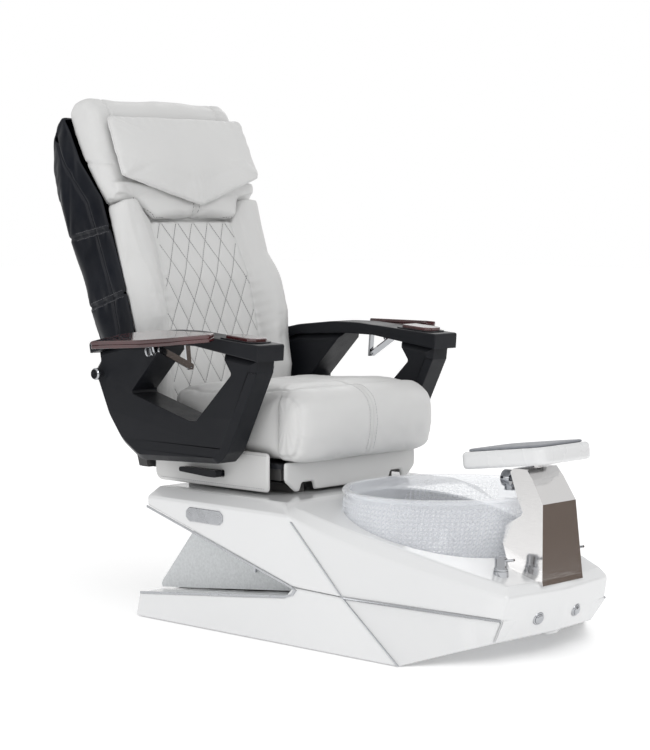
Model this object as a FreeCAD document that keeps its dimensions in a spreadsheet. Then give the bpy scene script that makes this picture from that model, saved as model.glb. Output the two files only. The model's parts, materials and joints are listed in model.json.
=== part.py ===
import FreeCAD, Part
import math
import os

from FreeCAD import Placement, Rotation, Vector

# Pedicure spa chair, millimetres. X across (sitter's left is +X), front towards -Y, +Z up.
# The origin is the middle of the base's footprint, on the floor.

SIZES = {
    # base mouldings
    "shell_half_width": 372, "shell_wall": 6, "deck_rear": 512, "crease_level": 322, "deck_level": 344,
    "footprint_rear": 559, "chin_start": -349, "nose": -559, "skirt_gap": 3, "core_half_width": 290,
    "panel_wall": 5.5,
    # inner frame and feet
    "tube_side": 40, "foot_radius": 25, "foot_rise": 12, "frame_half_track": 300,
    # foot bowl
    "bowl_rim_level": 371, "bowl_floor_level": 112, "bowl_wall": 6,
    "rim_half_width": 275, "rim_half_length": 255, "rim_centre": -192,
    "waist_half_width": 254, "waist_half_length": 238, "waist_centre": -172, "waist_level": 262,
    "sole_half_width": 178, "sole_half_length": 160, "sole_centre": -165, "drain_bore": 20.2,
    # jet and drain
    "jet_centre": -60, "impeller_radius": 32,
    # tower and footrest
    "tower_half_width": 80, "tower_taper": 4.6, "tower_wall": 4, "post_radius": 11,
    "post_line": -506, "post_level": 300, "post_lean": 13.76, "pad_hinge_line": -466,
    "pad_half_width": 103, "pad_rear": -312, "pad_front": -564, "pad_tilt": 7.2, "pad_thickness": 42,
    "pad_hinge_level": 470, "cover_thickness": 6,
    # taps and buttons
    "tap_offset": 138, "tap_line": -470, "tap_seat": 212,
    "button_offset": 74, "button_line": -530, "button_level": 98, "bezel_radius": 17,
    # seat
    "rail_offset": 170, "rail_width": 40, "rail_height": 22, "pan_level": 411, "pan_thickness": 12,
    "cushion_half_width": 262, "roll_half_width": 272, "skirt_thickness": 10,
    "side_skirt_inner": 266,
    # recline hinge
    "hinge_line": 640, "hinge_level": 455, "lean": 17, "hinge_pin_radius": 8, "running_gap": 0.06,
    # back
    "back_half_width": 280, "vinyl_wall": 5, "back_cushion_half_width": 268, "head_half_width": 272,
    "bolster_width": 86,
    "pillow_thickness": 38, "pillow_line": -79, "pillow_level": 872, "pillow_lean": 7.2,
    "massage_rod_radius": 8, "massage_rod_offset": 100, "roller_radius": 17,
    # arms
    "arm_inner": 292, "arm_width": 88, "arm_pivot_line": 679, "arm_pivot_level": 632, "stud_radius": 9,
    "beam_overhang": 3, "bracket_thickness": 6,
    # trays
    "tray_hinge_offset": 388, "tray_hinge_level": 738, "tray_thickness": 16, "tray_slope": 6.28,
    "tray_top_rise": 19, "brace_thickness": 6, "brace_pin_radius": 3,
}

doc = FreeCAD.newDocument("SpaChair")
sheet = doc.addObject("Spreadsheet::Sheet", "Sizes")
for row, (alias, value) in enumerate(SIZES.items(), start=1):
    sheet.set("A%d" % row, alias)
    sheet.set("B%d" % row, str(value))
    sheet.setAlias("B%d" % row, alias)
doc.recompute()

NODES = {}


def size(alias):
    """One driving dimension, read from the sheet."""
    return float(sheet.get(alias))


# ---------------------------------------------------------------- frames

UPRIGHT = Rotation()
# local x runs along Y, local y along Z, local z along X
SIDE_ON = Rotation(Vector(0, 1, 0), Vector(0, 0, 1), Vector(1, 0, 0), "ZXY")
# local x runs along X, local y along Z, local z along -Y
FACE_ON = Rotation(Vector(1, 0, 0), Vector(0, 0, 1), Vector(0, -1, 0), "ZXY")
TO_X = Rotation(Vector(0, 0, 1), Vector(1, 0, 0))
TO_Y = Rotation(Vector(0, 0, 1), Vector(0, 1, 0))
# the back's own frame: x across, y through its thickness, z up along the lean, from the recline hinge
BACK = Placement(Vector(0, size("hinge_line"), size("hinge_level")),
                 Rotation(Vector(1, 0, 0), -size("lean")))


def place(at=(0, 0, 0), turn=UPRIGHT, frame=None):
    spot = Placement(Vector(*at), turn)
    return frame.multiply(spot) if frame else spot


# ---------------------------------------------------------------- makers

def bind(piece, **sizes):
    """Bind each property of a feature to an expression over the sheet's aliases."""
    for name, formula in sizes.items():
        piece.setExpression(name, formula)


def cell(formula):
    """Turn 'alias * 2' into an expression that reads the sheet."""
    words = str(formula).split()
    return " ".join("Sizes." + word if word in SIZES else word for word in words)


def block(length, width, height, at, turn=UPRIGHT, frame=None):
    piece = doc.addObject("Part::Box", "Block")
    bind(piece, Length=cell(length), Width=cell(width), Height=cell(height))
    piece.Placement = place(at, turn, frame)
    return piece


def rod(radius, height, at, turn=UPRIGHT, frame=None):
    piece = doc.addObject("Part::Cylinder", "Rod")
    bind(piece, Radius=cell(radius), Height=cell(height))
    piece.Placement = place(at, turn, frame)
    return piece


def corner_arc(before, corner, after, radius):
    """Where an arc of the radius leaves and joins the two edges of a corner, and its midpoint."""
    corner = Vector(corner[0], corner[1], 0)
    along = (Vector(before[0], before[1], 0) - corner).normalize()
    away = (Vector(after[0], after[1], 0) - corner).normalize()
    half = along.getAngle(away) / 2
    reach = radius / math.tan(half)
    middle = (along + away).normalize()
    centre = corner + middle * (radius / math.sin(half))
    return corner + along * reach, centre - middle * radius, corner + away * reach


def draw(sketch, outline):
    """Draw a closed outline of (x, y) or (x, y, corner radius) points in a sketch."""
    count = len(outline)
    ends = []
    for index, point in enumerate(outline):
        before, after = outline[index - 1], outline[(index + 1) % count]
        if len(point) > 2:
            ends.append(corner_arc(before, point, after, point[2]))
        else:
            spot = Vector(point[0], point[1], 0)
            ends.append((spot, None, spot))
    for index, (start, middle, end) in enumerate(ends):
        if middle:
            sketch.addGeometry(Part.Arc(start, middle, end), False)
        following = ends[(index + 1) % count][0]
        if end.distanceToPoint(following) > 1e-4:
            sketch.addGeometry(Part.LineSegment(end, following), False)


def plane_of(body, role):
    return next(f for f in body.Origin.OriginFeatures if f.Role == role)


def plate(outline, thickness, at, turn=UPRIGHT, frame=None, holes=(), taper=0):
    """A padded outline with through holes; holes are (x, y, radius) or outlines."""
    body = doc.addObject("PartDesign::Body", "Plate")
    sketch = body.newObject("Sketcher::SketchObject", "Outline")
    sketch.AttachmentSupport = [(plane_of(body, "XY_Plane"), "")]
    sketch.MapMode = "FlatFace"
    draw(sketch, outline)
    for hole in holes:
        if isinstance(hole, tuple):
            centre = Vector(hole[0], hole[1], 0)
            sketch.addGeometry(Part.Circle(centre, Vector(0, 0, 1), hole[2]), False)
        else:
            draw(sketch, hole)
    pad = body.newObject("PartDesign::Pad", "Pad")
    pad.Profile = sketch
    bind(pad, Length=cell(thickness))
    if taper:
        pad.TaperAngle = taper
    body.Tip = pad
    body.Placement = place(at, turn, frame)
    doc.recompute()
    return body


def turned(profile, at, turn=UPRIGHT, frame=None):
    """A body of revolution about its own z; the profile's points are (radius, height)."""
    body = doc.addObject("PartDesign::Body", "Turned")
    sketch = body.newObject("Sketcher::SketchObject", "Profile")
    sketch.AttachmentSupport = [(plane_of(body, "XZ_Plane"), "")]
    sketch.MapMode = "FlatFace"
    draw(sketch, profile)
    spin = body.newObject("PartDesign::Revolution", "Spin")
    spin.Profile = sketch
    spin.ReferenceAxis = (sketch, ["V_Axis"])
    spin.Angle = 360
    body.Tip = spin
    body.Placement = place(at, turn, frame)
    doc.recompute()
    return body


def cut(base, tool):
    piece = doc.addObject("Part::Cut", "Cut")
    piece.Base, piece.Tool = base, tool
    return piece


def fuse(*pieces):
    piece = doc.addObject("Part::MultiFuse", "Fuse")
    piece.Shapes = list(pieces)
    return piece


def group(*pieces):
    piece = doc.addObject("Part::Compound", "Group")
    piece.Links = list(pieces)
    return piece


def mirrored(source):
    piece = doc.addObject("Part::Mirroring", "Mirror")
    piece.Source = source
    piece.Normal = Vector(1, 0, 0)
    return piece


def node(name, piece):
    """Name a finished sub-part; its label is its file's name."""
    piece.Label = name
    NODES[name] = piece
    return piece


def pair(name, piece):
    """A right-hand piece and its mirror image on the sitter's left."""
    node(name + "_right", piece)
    node(name + "_left", mirrored(piece))


def ellipse(half_width, half_length, centre, level):
    piece = doc.addObject("Part::Ellipse", "Oval")
    across = size_of(half_width) >= size_of(half_length)
    major, minor = (half_width, half_length) if across else (half_length, half_width)
    bind(piece, MajorRadius=cell(major), MinorRadius=cell(minor))
    turn = UPRIGHT if across else Rotation(Vector(0, 0, 1), 90)
    piece.Placement = Placement(Vector(0, size_of(centre), size_of(level)), turn)
    return piece


def size_of(formula):
    """The value of a sum or difference of aliases and numbers, such as 'bowl_rim_level - 8'."""
    total, sign = 0.0, 1
    for word in str(formula).split():
        if word in "+-":
            sign = 1 if word == "+" else -1
        else:
            total += sign * (size(word) if word in SIZES else float(word))
    return total


def loft(*sections):
    piece = doc.addObject("Part::Loft", "Loft")
    piece.Sections = list(sections)
    piece.Solid = True
    piece.Ruled = False
    return piece


# ---------------------------------------------------------------- faceted mouldings

def facets(points, faces):
    """A closed faceted solid from its right half: faces are lists of point names.

    A name ending in ' is the point's mirror image; a face without one is mirrored too.
    """
    def spot(name):
        x, y, z = points[name.rstrip("'")]
        return Vector(-x if name.endswith("'") else x, y, z)

    def flat(names):
        corners = [spot(name) for name in names]
        wire = Part.makePolygon(corners + corners[:1])
        return Part.Face(wire)

    skins = []
    for names in faces:
        skins.append(flat(names))
        if not any(name.endswith("'") for name in names):
            skins.append(flat([name if points[name][0] == 0 else name + "'" for name in names]))
    shell = Part.Shell(skins)
    shell.sewShape()
    solid = Part.Solid(shell)
    if solid.Volume < 0:
        solid.reverse()
    return solid


def upper_moulding(inset=0.0):
    """The upper shell's form: rear, sloped deck, faceted shoulders and bowed front."""
    half, rear, crease, deck = (size(n) for n in ("shell_half_width", "deck_rear", "crease_level",
                                                  "deck_level"))
    nose = size("nose")
    side, top, low, back, front = half - inset, -inset, inset, -inset, inset
    points = {
        # lower edge: notch, tip, trim line, front corner, chin
        "T0": (side, rear + back, 297 + low), "T1": (side, -10, 146 + low),
        "T2": (side, -172 + front, 142 + low),
        "T3": (207 - inset, -525 + front, 108 + low), "T5": (194 - inset, -488 + front, 46 + low),
        "T6": (0, nose + 29 + front, 56 + low),
        # crease
        "S0": (side, rear + back, crease + top), "S1": (side, 5, crease - 2 + top),
        "S2": (341 - inset, -107 + front, 277 + top), "S3": (297 - inset, -250 + front, 233 + top),
        "S4": (246 - inset, -404 + front, 193 + top), "S5": (200 - inset, -539 + front, 163 + top),
        "S6": (0, nose + front, 161 + top),
        # deck edge
        "D0": (330 - inset, rear + back, deck + top), "D1": (330 - inset, 60, deck + top),
        "D2": (308 - inset, -107 + front, 299 + top), "D3": (268 - inset, -250 + front, 261 + top),
        "D4": (222 - inset, -404 + front, 219 + top), "D5": (183 - inset, -525 + front, 187 + top),
        "D6": (0, nose + 14 + front, 181 + top),
    }
    faces = [
        ["T0", "T1", "T2", "S1", "S0"], ["T2", "S2", "S1"], ["T2", "S3", "S2"], ["T2", "T3", "S3"],
        ["T3", "S4", "S3"], ["T3", "S5", "S4"], ["T3", "T5", "T6"], ["T3", "T6", "S6"], ["T3", "S6", "S5"],
    ]
    for near in range(6):
        here, there = str(near), str(near + 1)
        faces.append(["S" + here, "S" + there, "D" + there])
        faces.append(["S" + here, "D" + there, "D" + here])
    for near in range(5):
        here, there = "D%d" % near, "D%d" % (near + 1)
        faces.append([here, there, there + "'", here + "'"])
    faces.append(["D5", "D6", "D5'"])
    faces.append(["T0", "S0", "D0", "D0'", "S0'", "T0'"])
    for here, there in (("T0", "T1"), ("T1", "T2"), ("T2", "T3"), ("T3", "T5")):
        faces.append([here, there, there + "'", here + "'"])
    faces.append(["T5", "T6", "T5'"])
    return facets(points, faces)


def lower_moulding(inset=0.0, top_drop=0.0):
    """The lower hull's form: ledge under the notch, side wall, turned-in facet and raised chin."""
    half, rear, chin, gap = (size(n) for n in ("shell_half_width", "footprint_rear", "chin_start",
                                               "skirt_gap"))
    side, low = half - inset, gap - (60 if inset else 0)
    points = {
        "L0": (side, rear - 14 - inset, 64 - top_drop), "L1": (side, 14, 119 - top_drop),
        "L2": (side, -10, 145 - top_drop), "L3": (side, -172 + inset, 141 - top_drop),
        "L4": (207 - inset, -522 + inset, 107 - top_drop),
        "B0": (side, rear - inset, low), "B1": (side, -10, low), "B3": (side, chin + inset, low),
        "B5": (192 - inset, -486 + inset, 46 - (60 if inset else 0)),
    }
    faces = [
        ["L0", "L1", "L2", "L3", "B3", "B1", "B0"], ["L3", "L4", "B3"], ["L4", "B5", "B3"],
        ["L4", "B5", "B5'", "L4'"], ["L0", "B0", "B0'", "L0'"],
    ]
    for here, there in (("L0", "L1"), ("L1", "L2"), ("L2", "L3"), ("L3", "L4"), ("B0", "B1"), ("B1", "B3"),
                        ("B3", "B5")):
        faces.append([here, there, there + "'", here + "'"])
    return facets(points, faces)


def feature(shape, label):
    piece = doc.addObject("Part::Feature", label)
    piece.Shape = shape
    return piece


def well(clearance):
    """The bowl's outer form with a clearance, for the deck opening."""
    grow = " + %s" % clearance
    return loft(ellipse("sole_half_width" + grow, "sole_half_length" + grow, "sole_centre",
                        "bowl_floor_level - 1"),
                ellipse("waist_half_width" + grow, "waist_half_length" + grow, "waist_centre",
                        "waist_level"),
                ellipse("rim_half_width - 13" + grow, "rim_half_length - 13" + grow, "rim_centre",
                        "bowl_rim_level + 1"))


def button_frame(offset):
    """Frame on the bowed front face: its z points out of the face."""
    across = Vector(1, 0.155, 0) if offset > 0 else Vector(1, -0.155, 0)
    up = Vector(0, -0.30, 1)
    outward = up.cross(across).normalize()
    if outward.y > 0:
        outward = outward.negative()
    spot = Vector(offset, size("button_line"), size("button_level"))
    return Placement(spot, Rotation(Vector(0, 0, 1), outward))


def make_base():
    wall = size("shell_wall")
    half = size("shell_half_width")
    core = size("core_half_width")

    upper_outer = feature(upper_moulding(), "UpperForm")
    upper_inner = feature(upper_moulding(wall), "UpperHollow")
    hollow = cut(upper_outer, upper_inner)
    # the underside is open between the recess panels, and narrower under the bowl's front
    rear_window = plate([(402, 250), (402, 284), (-10, 168), (-160, 160), (-160, 130), (-10, 130)],
                        "core_half_width * 2 + 1", (-core - 0.5, 0, 0), SIDE_ON)
    front_window = plate([(-262, -159), (-195, -500), (195, -500), (262, -159)], "65", (0, 0, 95))
    shell = cut(cut(cut(hollow, rear_window), front_window), well(1.5))
    for side in (-1, 1):
        shell = cut(shell, rod("bezel_radius + 0.2", "60", (0, 0, -40),
                               frame=button_frame(side * size("button_offset"))))
        shell = cut(shell, rod("9", "60", (side * size("tap_offset"), size("tap_line"), 165)))
    node("base_shell", shell)

    lower_outer = feature(lower_moulding(), "LowerForm")
    lower_inner = feature(lower_moulding(wall, wall), "LowerHollow")
    lower = cut(cut(lower_outer, lower_inner), upper_outer)
    ledge_window = block("core_half_width * 2 - 14", "690", "150", (-core + 7, -160, 25))
    bow = [(-262, -159), (-195, -478), (-150, -530), (150, -530), (195, -478), (262, -159)]
    bow_window = plate(bow, "90", (0, 0, 60))
    node("base_skirt", cut(cut(lower, ledge_window), bow_window))

    # recess panels behind the side notches, and the slanted rear panel between them
    recess = [(372, 282), (548, 78), (545, 68), (14, 122), (-10, 152), (-10, 168)]
    panel = plate(recess, "panel_wall", (-core, 0, 0), SIDE_ON, holes=[(190, 165, 5.06)])
    pair("access_panel", panel)
    slant = [(374, 286), (380, 290), (552, 82), (547, 77)]
    node("rear_panel", plate(slant, "core_half_width * 2 - 12", (-core + 6, 0, 0), SIDE_ON))

    # quarter-turn latch: shaft through the panel, keeper inside, thumb turn outside
    shaft = rod("5", "20", (-core - 6, 190, 165), TO_X)
    turn_piece = block("7", "9", "30", (-core - 12, 185.5, 150))
    keeper = block("4", "10", "34", (-core + 8, 185, 140))
    pair("panel_latch", fuse(shaft, turn_piece, keeper))

    trims = trim_strips(upper_outer, lower_outer)
    node("trim_strips", group(trims, mirrored(trims)))
    badge = [(-54, -18), (54, -18), (66, -8), (66, 8), (54, 18), (-54, 18), (-66, 8), (-66, -8)]
    node("badge_plate", plate(badge, "3", (-half - 3, 296, 290), SIDE_ON))

    make_frame()
    make_bowl()
    make_tower(upper_outer)
    make_taps(upper_outer)
    make_buttons()
    rails = [block("rail_width", "345", "rail_height", (x, 160, size("deck_level")))
             for x in (-size("rail_offset") - 20, size("rail_offset") - 20)]
    tracks = [cut(rail, block("20", "345", "rail_height - 8", (x, 160, size("deck_level") + 8)))
              for rail, x in zip(rails, (-size("rail_offset") - 10, size("rail_offset") - 10))]
    node("slide_rails", group(*tracks))


def trim_strips(upper_outer, lower_outer):
    """Thin bright strips on the sitter's right: around the notch, down the side and along the facet."""
    half = size("shell_half_width")
    band = [(512, 298), (-8, 149), (-26, 140), (-14, 126), (14, 117), (540, 62),
            (540, 68), (15, 123), (-8, 129), (-16, 139), (-6, 144), (512, 292)]
    notch = plate(band, "2.5", (-half - 2.5, 0, 0), SIDE_ON)
    diagonal = [(-4, 306), (-170, 146), (-350, 3), (-356, 3), (-176, 144), (-10, 306)]
    side = plate(diagonal, "2.5", (-half - 2.5, 0, 0), SIDE_ON)
    start, end = Vector(-half, -176, 141), Vector(-207, -525, 107)
    along = (end - start).normalize()
    outward = Vector(-0.80, -0.41, 0.44).normalize()
    turn = Rotation(along, outward.cross(along), outward, "XZY")
    line = block(str((end - start).Length), "5", "5", (0, 0, 0))
    line.Placement = Placement(start + outward * -2.5 - outward.cross(along) * 2.5, turn)
    facet = cut(cut(line, upper_outer), lower_outer)
    return group(notch, side, facet)


def make_frame():
    """Welded square tubes that carry the seat, on six pads and one in the middle."""
    tube, track, rise = size("tube_side"), size("frame_half_track"), size("foot_rise")
    long_ends = (-330, 520)
    pieces = [block("tube_side", str(long_ends[1] - long_ends[0]), "tube_side",
                    (x - tube / 2, long_ends[0], rise))
              for x in (-track, track)]
    for y in (-290, 0, 120, 290, 480):
        pieces.append(block("frame_half_track * 2", "tube_side", "tube_side", (-track, y - tube / 2, rise)))
    for x in (-200, 200):
        for y in (120, 290):
            top = size("deck_level") - size("shell_wall") - 0.5
            pieces.append(block("tube_side", "tube_side", str(top - rise - tube),
                                (x - tube / 2, y - tube / 2, rise + tube)))
    node("base_frame", fuse(*pieces))
    feet = [rod("foot_radius", "foot_rise", (x, y, 0)) for x in (-track, track) for y in (-290, 120, 480)]
    feet.append(rod("foot_radius", "foot_rise", (0, 0, 0)))
    node("floor_feet", group(*feet))


def make_bowl():
    outer = well(0)
    lip = loft(ellipse("rim_half_width", "rim_half_length", "rim_centre", "bowl_rim_level - 6"),
               ellipse("rim_half_width", "rim_half_length", "rim_centre", "bowl_rim_level + 2"))
    inner = loft(ellipse("sole_half_width - 6", "sole_half_length - 6", "sole_centre",
                         "bowl_floor_level + 5"),
                 ellipse("waist_half_width - 6", "waist_half_length - 6", "waist_centre", "waist_level"),
                 ellipse("rim_half_width - 19", "rim_half_length - 19", "rim_centre", "bowl_rim_level + 3"))
    centre = size("sole_centre")
    floor = size("bowl_floor_level")
    body = cut(fuse(outer, lip), inner)
    body = cut(body, rod("drain_bore", "20", (0, centre, floor - 6)))
    node("foot_bowl", cut(body, rod("7", "20", (0, size("jet_centre"), floor - 6))))

    top = floor + 5
    flange = [(16, -50), (20, -50), (20, 0.2), (38, 0.2), (36, 3.5), (24, 3.5), (16, 1.5)]
    node("bowl_drain", turned(flange, (0, centre, top)))
    plug = [(0, -18), (5, -18), (5, 4), (24, 4), (21, 9), (0, 11)]
    node("drain_stopper", turned(plug, (0, centre, top)))

    jet_y = size("jet_centre")
    cover = [(6.5, 0.2), (46, 0.2), (46, 14), (40, 20), (0, 20), (0, 17), (38, 17), (43, 12), (43, 3.2),
             (6.5, 3.2)]
    cap = turned(cover, (0, jet_y, top))
    for turn_index in range(8):
        angle = math.radians(45 * turn_index)
        cap = cut(cap, rod("4.5", "8", (26 * math.cos(angle), jet_y + 26 * math.sin(angle), top + 14)))
    motor = turned([(6.5, -60), (42, -60), (42, -12), (30, -7), (6.5, -7)], (0, jet_y, top))
    node("jet_housing", group(cap, motor))
    blades = [rod("4", "60", (0, jet_y, top - 50)), rod("12", "9", (0, jet_y, top + 5))]
    for turn_index in range(4):
        blades.append(block("impeller_radius", "3", "8", (0, jet_y, top + 5.5),
                            Rotation(Vector(0, 0, 1), 90 * turn_index)))
    node("jet_impeller", fuse(*blades))


def make_tower(upper_outer):
    """Folded steel tower on the deck, with the lifting post and tilting footrest."""
    half, wall = size("tower_half_width"), size("tower_wall")
    outline = [(-550, 176), (-452, 196), (-424, 268), (-433, 311), (-474, 335), (-479, 344), (-459, 380),
               (-435, 437), (-444, 446), (-484, 446), (-503, 423), (-537, 367), (-548, 188)]
    hollow = [(-545, 170), (-457, 190), (-430, 268), (-438, 308), (-478, 331), (-484, 345), (-464, 382),
              (-442, 432), (-446, 441), (-481, 441), (-498, 421), (-532, 366), (-543, 188)]
    skin = plate(outline, "tower_half_width * 2", (-half, 0, 0), SIDE_ON)
    core = plate(hollow, "tower_half_width * 2", (-half, 0, 0), SIDE_ON)
    for side in (-1, 1):
        lean = Rotation(Vector(0, 1, 0), -side * size("tower_taper"))
        skin = cut(skin, block("60", "220", "400", (side * (half + 1.5) - (60 if side < 0 else 0), -600,
                                                    170), lean))
        core = cut(core, block("60", "220", "400", (side * (half - wall) - (60 if side < 0 else 0), -600,
                                                    170), lean))
    tower = cut(cut(skin, core), upper_outer)
    post_turn = Rotation(Vector(1, 0, 0), -size("post_lean"))
    post_foot = (0, size("post_line"), size("post_level"))
    tower = cut(tower, rod("post_radius + running_gap", "160", post_foot, post_turn))
    node("tower_shell", cut(tower, rod("8.06", "40", (0, -480, 412), TO_Y)))

    # swivelling spray nozzle on the tower's rear, over the bowl
    stem = rod("8", "48", (0, -448, 412), TO_Y)
    head = rod("21", "26", (0, -400, 412), TO_Y)
    spout = rod("15", "14", (0, -390, 384))
    node("spray_head", fuse(stem, head, spout))

    pivot_y, pivot_z = size("pad_hinge_line"), size("pad_hinge_level")
    tongue = plate([(pivot_y - 11, 448), (pivot_y + 11, 448), (pivot_y + 11, pivot_z, 6),
                    (pivot_y + 6, pivot_z + 10, 4), (pivot_y - 6, pivot_z + 10, 4),
                    (pivot_y - 11, pivot_z, 6)],
                   "16", (-8, 0, 0), SIDE_ON, holes=[(pivot_y, pivot_z, 5.06)])
    node("footrest_bracket", tongue)
    node("footrest_post", cut(rod("post_radius", "154", post_foot, post_turn), tongue))

    pad_frame = Placement(Vector(0, pivot_y, pivot_z), Rotation(Vector(1, 0, 0), -size("pad_tilt")))
    wide = size("pad_half_width")
    rear, front = size("pad_rear") - pivot_y, size("pad_front") - pivot_y
    rim = [(-wide, front, 26), (wide, front, 26), (wide, rear, 22), (-wide, rear, 22)]
    tray = plate(rim, "pad_thickness", (0, 0, -16), frame=pad_frame)
    tray = cut(tray, block("70", "64", "29", (-35, -32, -17), frame=pad_frame))
    pin = rod("5", "69.8", (-34.9, 0, 0), TO_X, frame=pad_frame)
    node("footrest_shell", group(tray, pin))
    inner = [(-wide + 14, front + 14, 18), (wide - 14, front + 14, 18), (wide - 14, rear - 14, 14),
             (-wide + 14, rear - 14, 14)]
    node("footrest_pad", plate(inner, "cover_thickness", (0, 0, size("pad_thickness") - 15.7),
                               frame=pad_frame))


def make_taps(upper_outer):
    seats = []
    for side, name in ((-1, "hot_knob"), (1, "cold_knob")):
        x, y, seat = side * size("tap_offset"), size("tap_line"), size("tap_seat")
        collar = cut(rod("18", "30", (x, y, seat - 31)), upper_outer)
        valve = turned([(4.5, -70), (15, -70), (15, -34), (8.7, -34), (8.7, -24), (4.5, -24)], (x, y, seat))
        seats += [cut(collar, rod("4.5", "40", (x, y, seat - 36))), valve]
        body = turned([(0, -60), (4, -60), (4, -0.5), (17, -0.5), (17, 5), (15, 7), (15, 30), (11, 34),
                       (0, 34)],
                      (x, y, seat))
        stick = rod("3", "28", (x, y - 12, seat + 24), Rotation(Vector(0, 0, 1), Vector(0, -1, 0.2)))
        node(name, fuse(body, stick))
    node("mixing_valves", group(*seats))


def make_buttons():
    rings = []
    for side, name in ((-1, "start_button"), (1, "jet_button")):
        spot = button_frame(side * size("button_offset"))
        ring = [(12.2, -26), (17, -26), (17, 4), (15, 7), (12.2, 7)]
        rings.append(turned(ring, (0, 0, 0), frame=spot))
        cap = [(0, -18), (12, -18), (12, 8), (9, 11), (0, 11)]
        node(name, turned(cap, (0, 0, 0), frame=spot))
    node("button_bezels", group(*rings))


# ---------------------------------------------------------------- seat

def make_seat():
    pivot_y, pivot_z = size("hinge_line"), size("hinge_level")
    under = size("pan_level") - 0.5
    floor = size("deck_level") + size("rail_height") + 0.5
    parts = []
    for side in (-1, 1):
        x = side * size("rail_offset")
        parts.append(block("18", "370", str(floor - 350 + 14), (x - 9, 190, 353)))
        parts.append(block("30", "410", str(under - 380.5), (side * 232 - 15, 150, 380.5)))
        lug = [(540, 381), (655, 381), (662, pivot_z, 12), (652, pivot_z + 18, 8), (628, pivot_z + 18, 8),
               (618, pivot_z, 12), (600, 410), (540, 410)]
        inner = 258 if side > 0 else -264
        parts.append(plate(lug, "6", (inner, 0, 0), SIDE_ON,
                           holes=[(pivot_y, pivot_z, size("hinge_pin_radius") + size("running_gap"))]))
        parts.append(block("30", "14", "10", (min(side * 232, side * 262), 545, 384)))
        parts.append(block("20.5", "30", "24", (264 if side > 0 else -284.5, 600, 382)))
    for y in (160, 360, 540):
        parts.append(block("494", "24", "10", (-247, y, 380.5)))
    node("seat_frame", fuse(*parts))

    node("seat_pan", plate([(-255, 142, 12), (255, 142, 12), (255, 572, 20), (-255, 572, 20)],
                           "pan_thickness",
                           (0, 0, size("pan_level"))))
    main = plate([(150, 430), (568, 430, 20), (568, 600, 30), (300, 612, 200), (150, 622)],
                 "cushion_half_width * 2", (-size("cushion_half_width"), 0, 0), SIDE_ON)
    roll = plate([(150, 430), (150, 632), (108, 632, 40), (50, 592, 40), (46, 500, 60), (66, 430, 25)],
                 "roll_half_width * 2", (-size("roll_half_width"), 0, 0), SIDE_ON)
    node("seat_cushion", fuse(main, roll))
    # notched to pass over the runners as the seat slides back
    apron = [(-250, 382, 12), (-212, 350, 12), (-197, 350, 4), (-192, 372, 6), (-148, 372, 6),
             (-143, 350, 4), (143, 350, 4),
             (148, 372, 6), (192, 372, 6), (197, 350, 4), (212, 350, 12), (250, 382, 12), (250, 428, 6),
             (-250, 428, 6)]
    node("front_skirt", plate(apron, "12", (0, 140, 0), FACE_ON))
    flank = [(165, 350, 12), (585, 350, 24), (590, 452, 18), (165, 452, 12)]
    right = plate(flank, "skirt_thickness", (-size("side_skirt_inner") - 10, 0, 0), SIDE_ON,
                  holes=[(330, 388, 8)])
    left = plate(flank, "skirt_thickness", (size("side_skirt_inner"), 0, 0), SIDE_ON)
    node("side_skirts", group(right, left))

    bracket = [(600, 384), (632, 384), (700, 606, 12), (702, 652, 14), (660, 655, 14), (642, 612, 30)]
    stud_y, stud_z = size("arm_pivot_line"), size("arm_pivot_level")
    plate_right = plate(bracket, "bracket_thickness", (-290.5, 0, 0), SIDE_ON)
    stud = rod("stud_radius", "41", (-331, stud_y, stud_z), TO_X)
    right = fuse(plate_right, stud)
    node("arm_brackets", group(right, mirrored(right)))

    # recline drive between the runners, and its push rod
    motor = fuse(rod("9.5", "150", (0, 370, 400.5), TO_Y), block("60", "70", "18", (-30, 300, 392)))
    node("recline_motor", cut(motor, rod("6.06", "160", (0, 380, 400.5), TO_Y)))
    node("recline_rod", rod("6", "196", (0, 430, 400.5), TO_Y))

    # seat-slide release: shaft through the right side skirt and a long flat grip beside it
    shaft = rod("6", "58", (-306, 330, 388), TO_X)
    grip = plate([(318, 380, 5), (352, 380, 5), (455, 386, 5), (455, 398, 5), (318, 398, 5)], "22",
                 (-312, 0, 0),
                 SIDE_ON)
    node("release_lever", fuse(shaft, grip))


# ---------------------------------------------------------------- back

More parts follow.
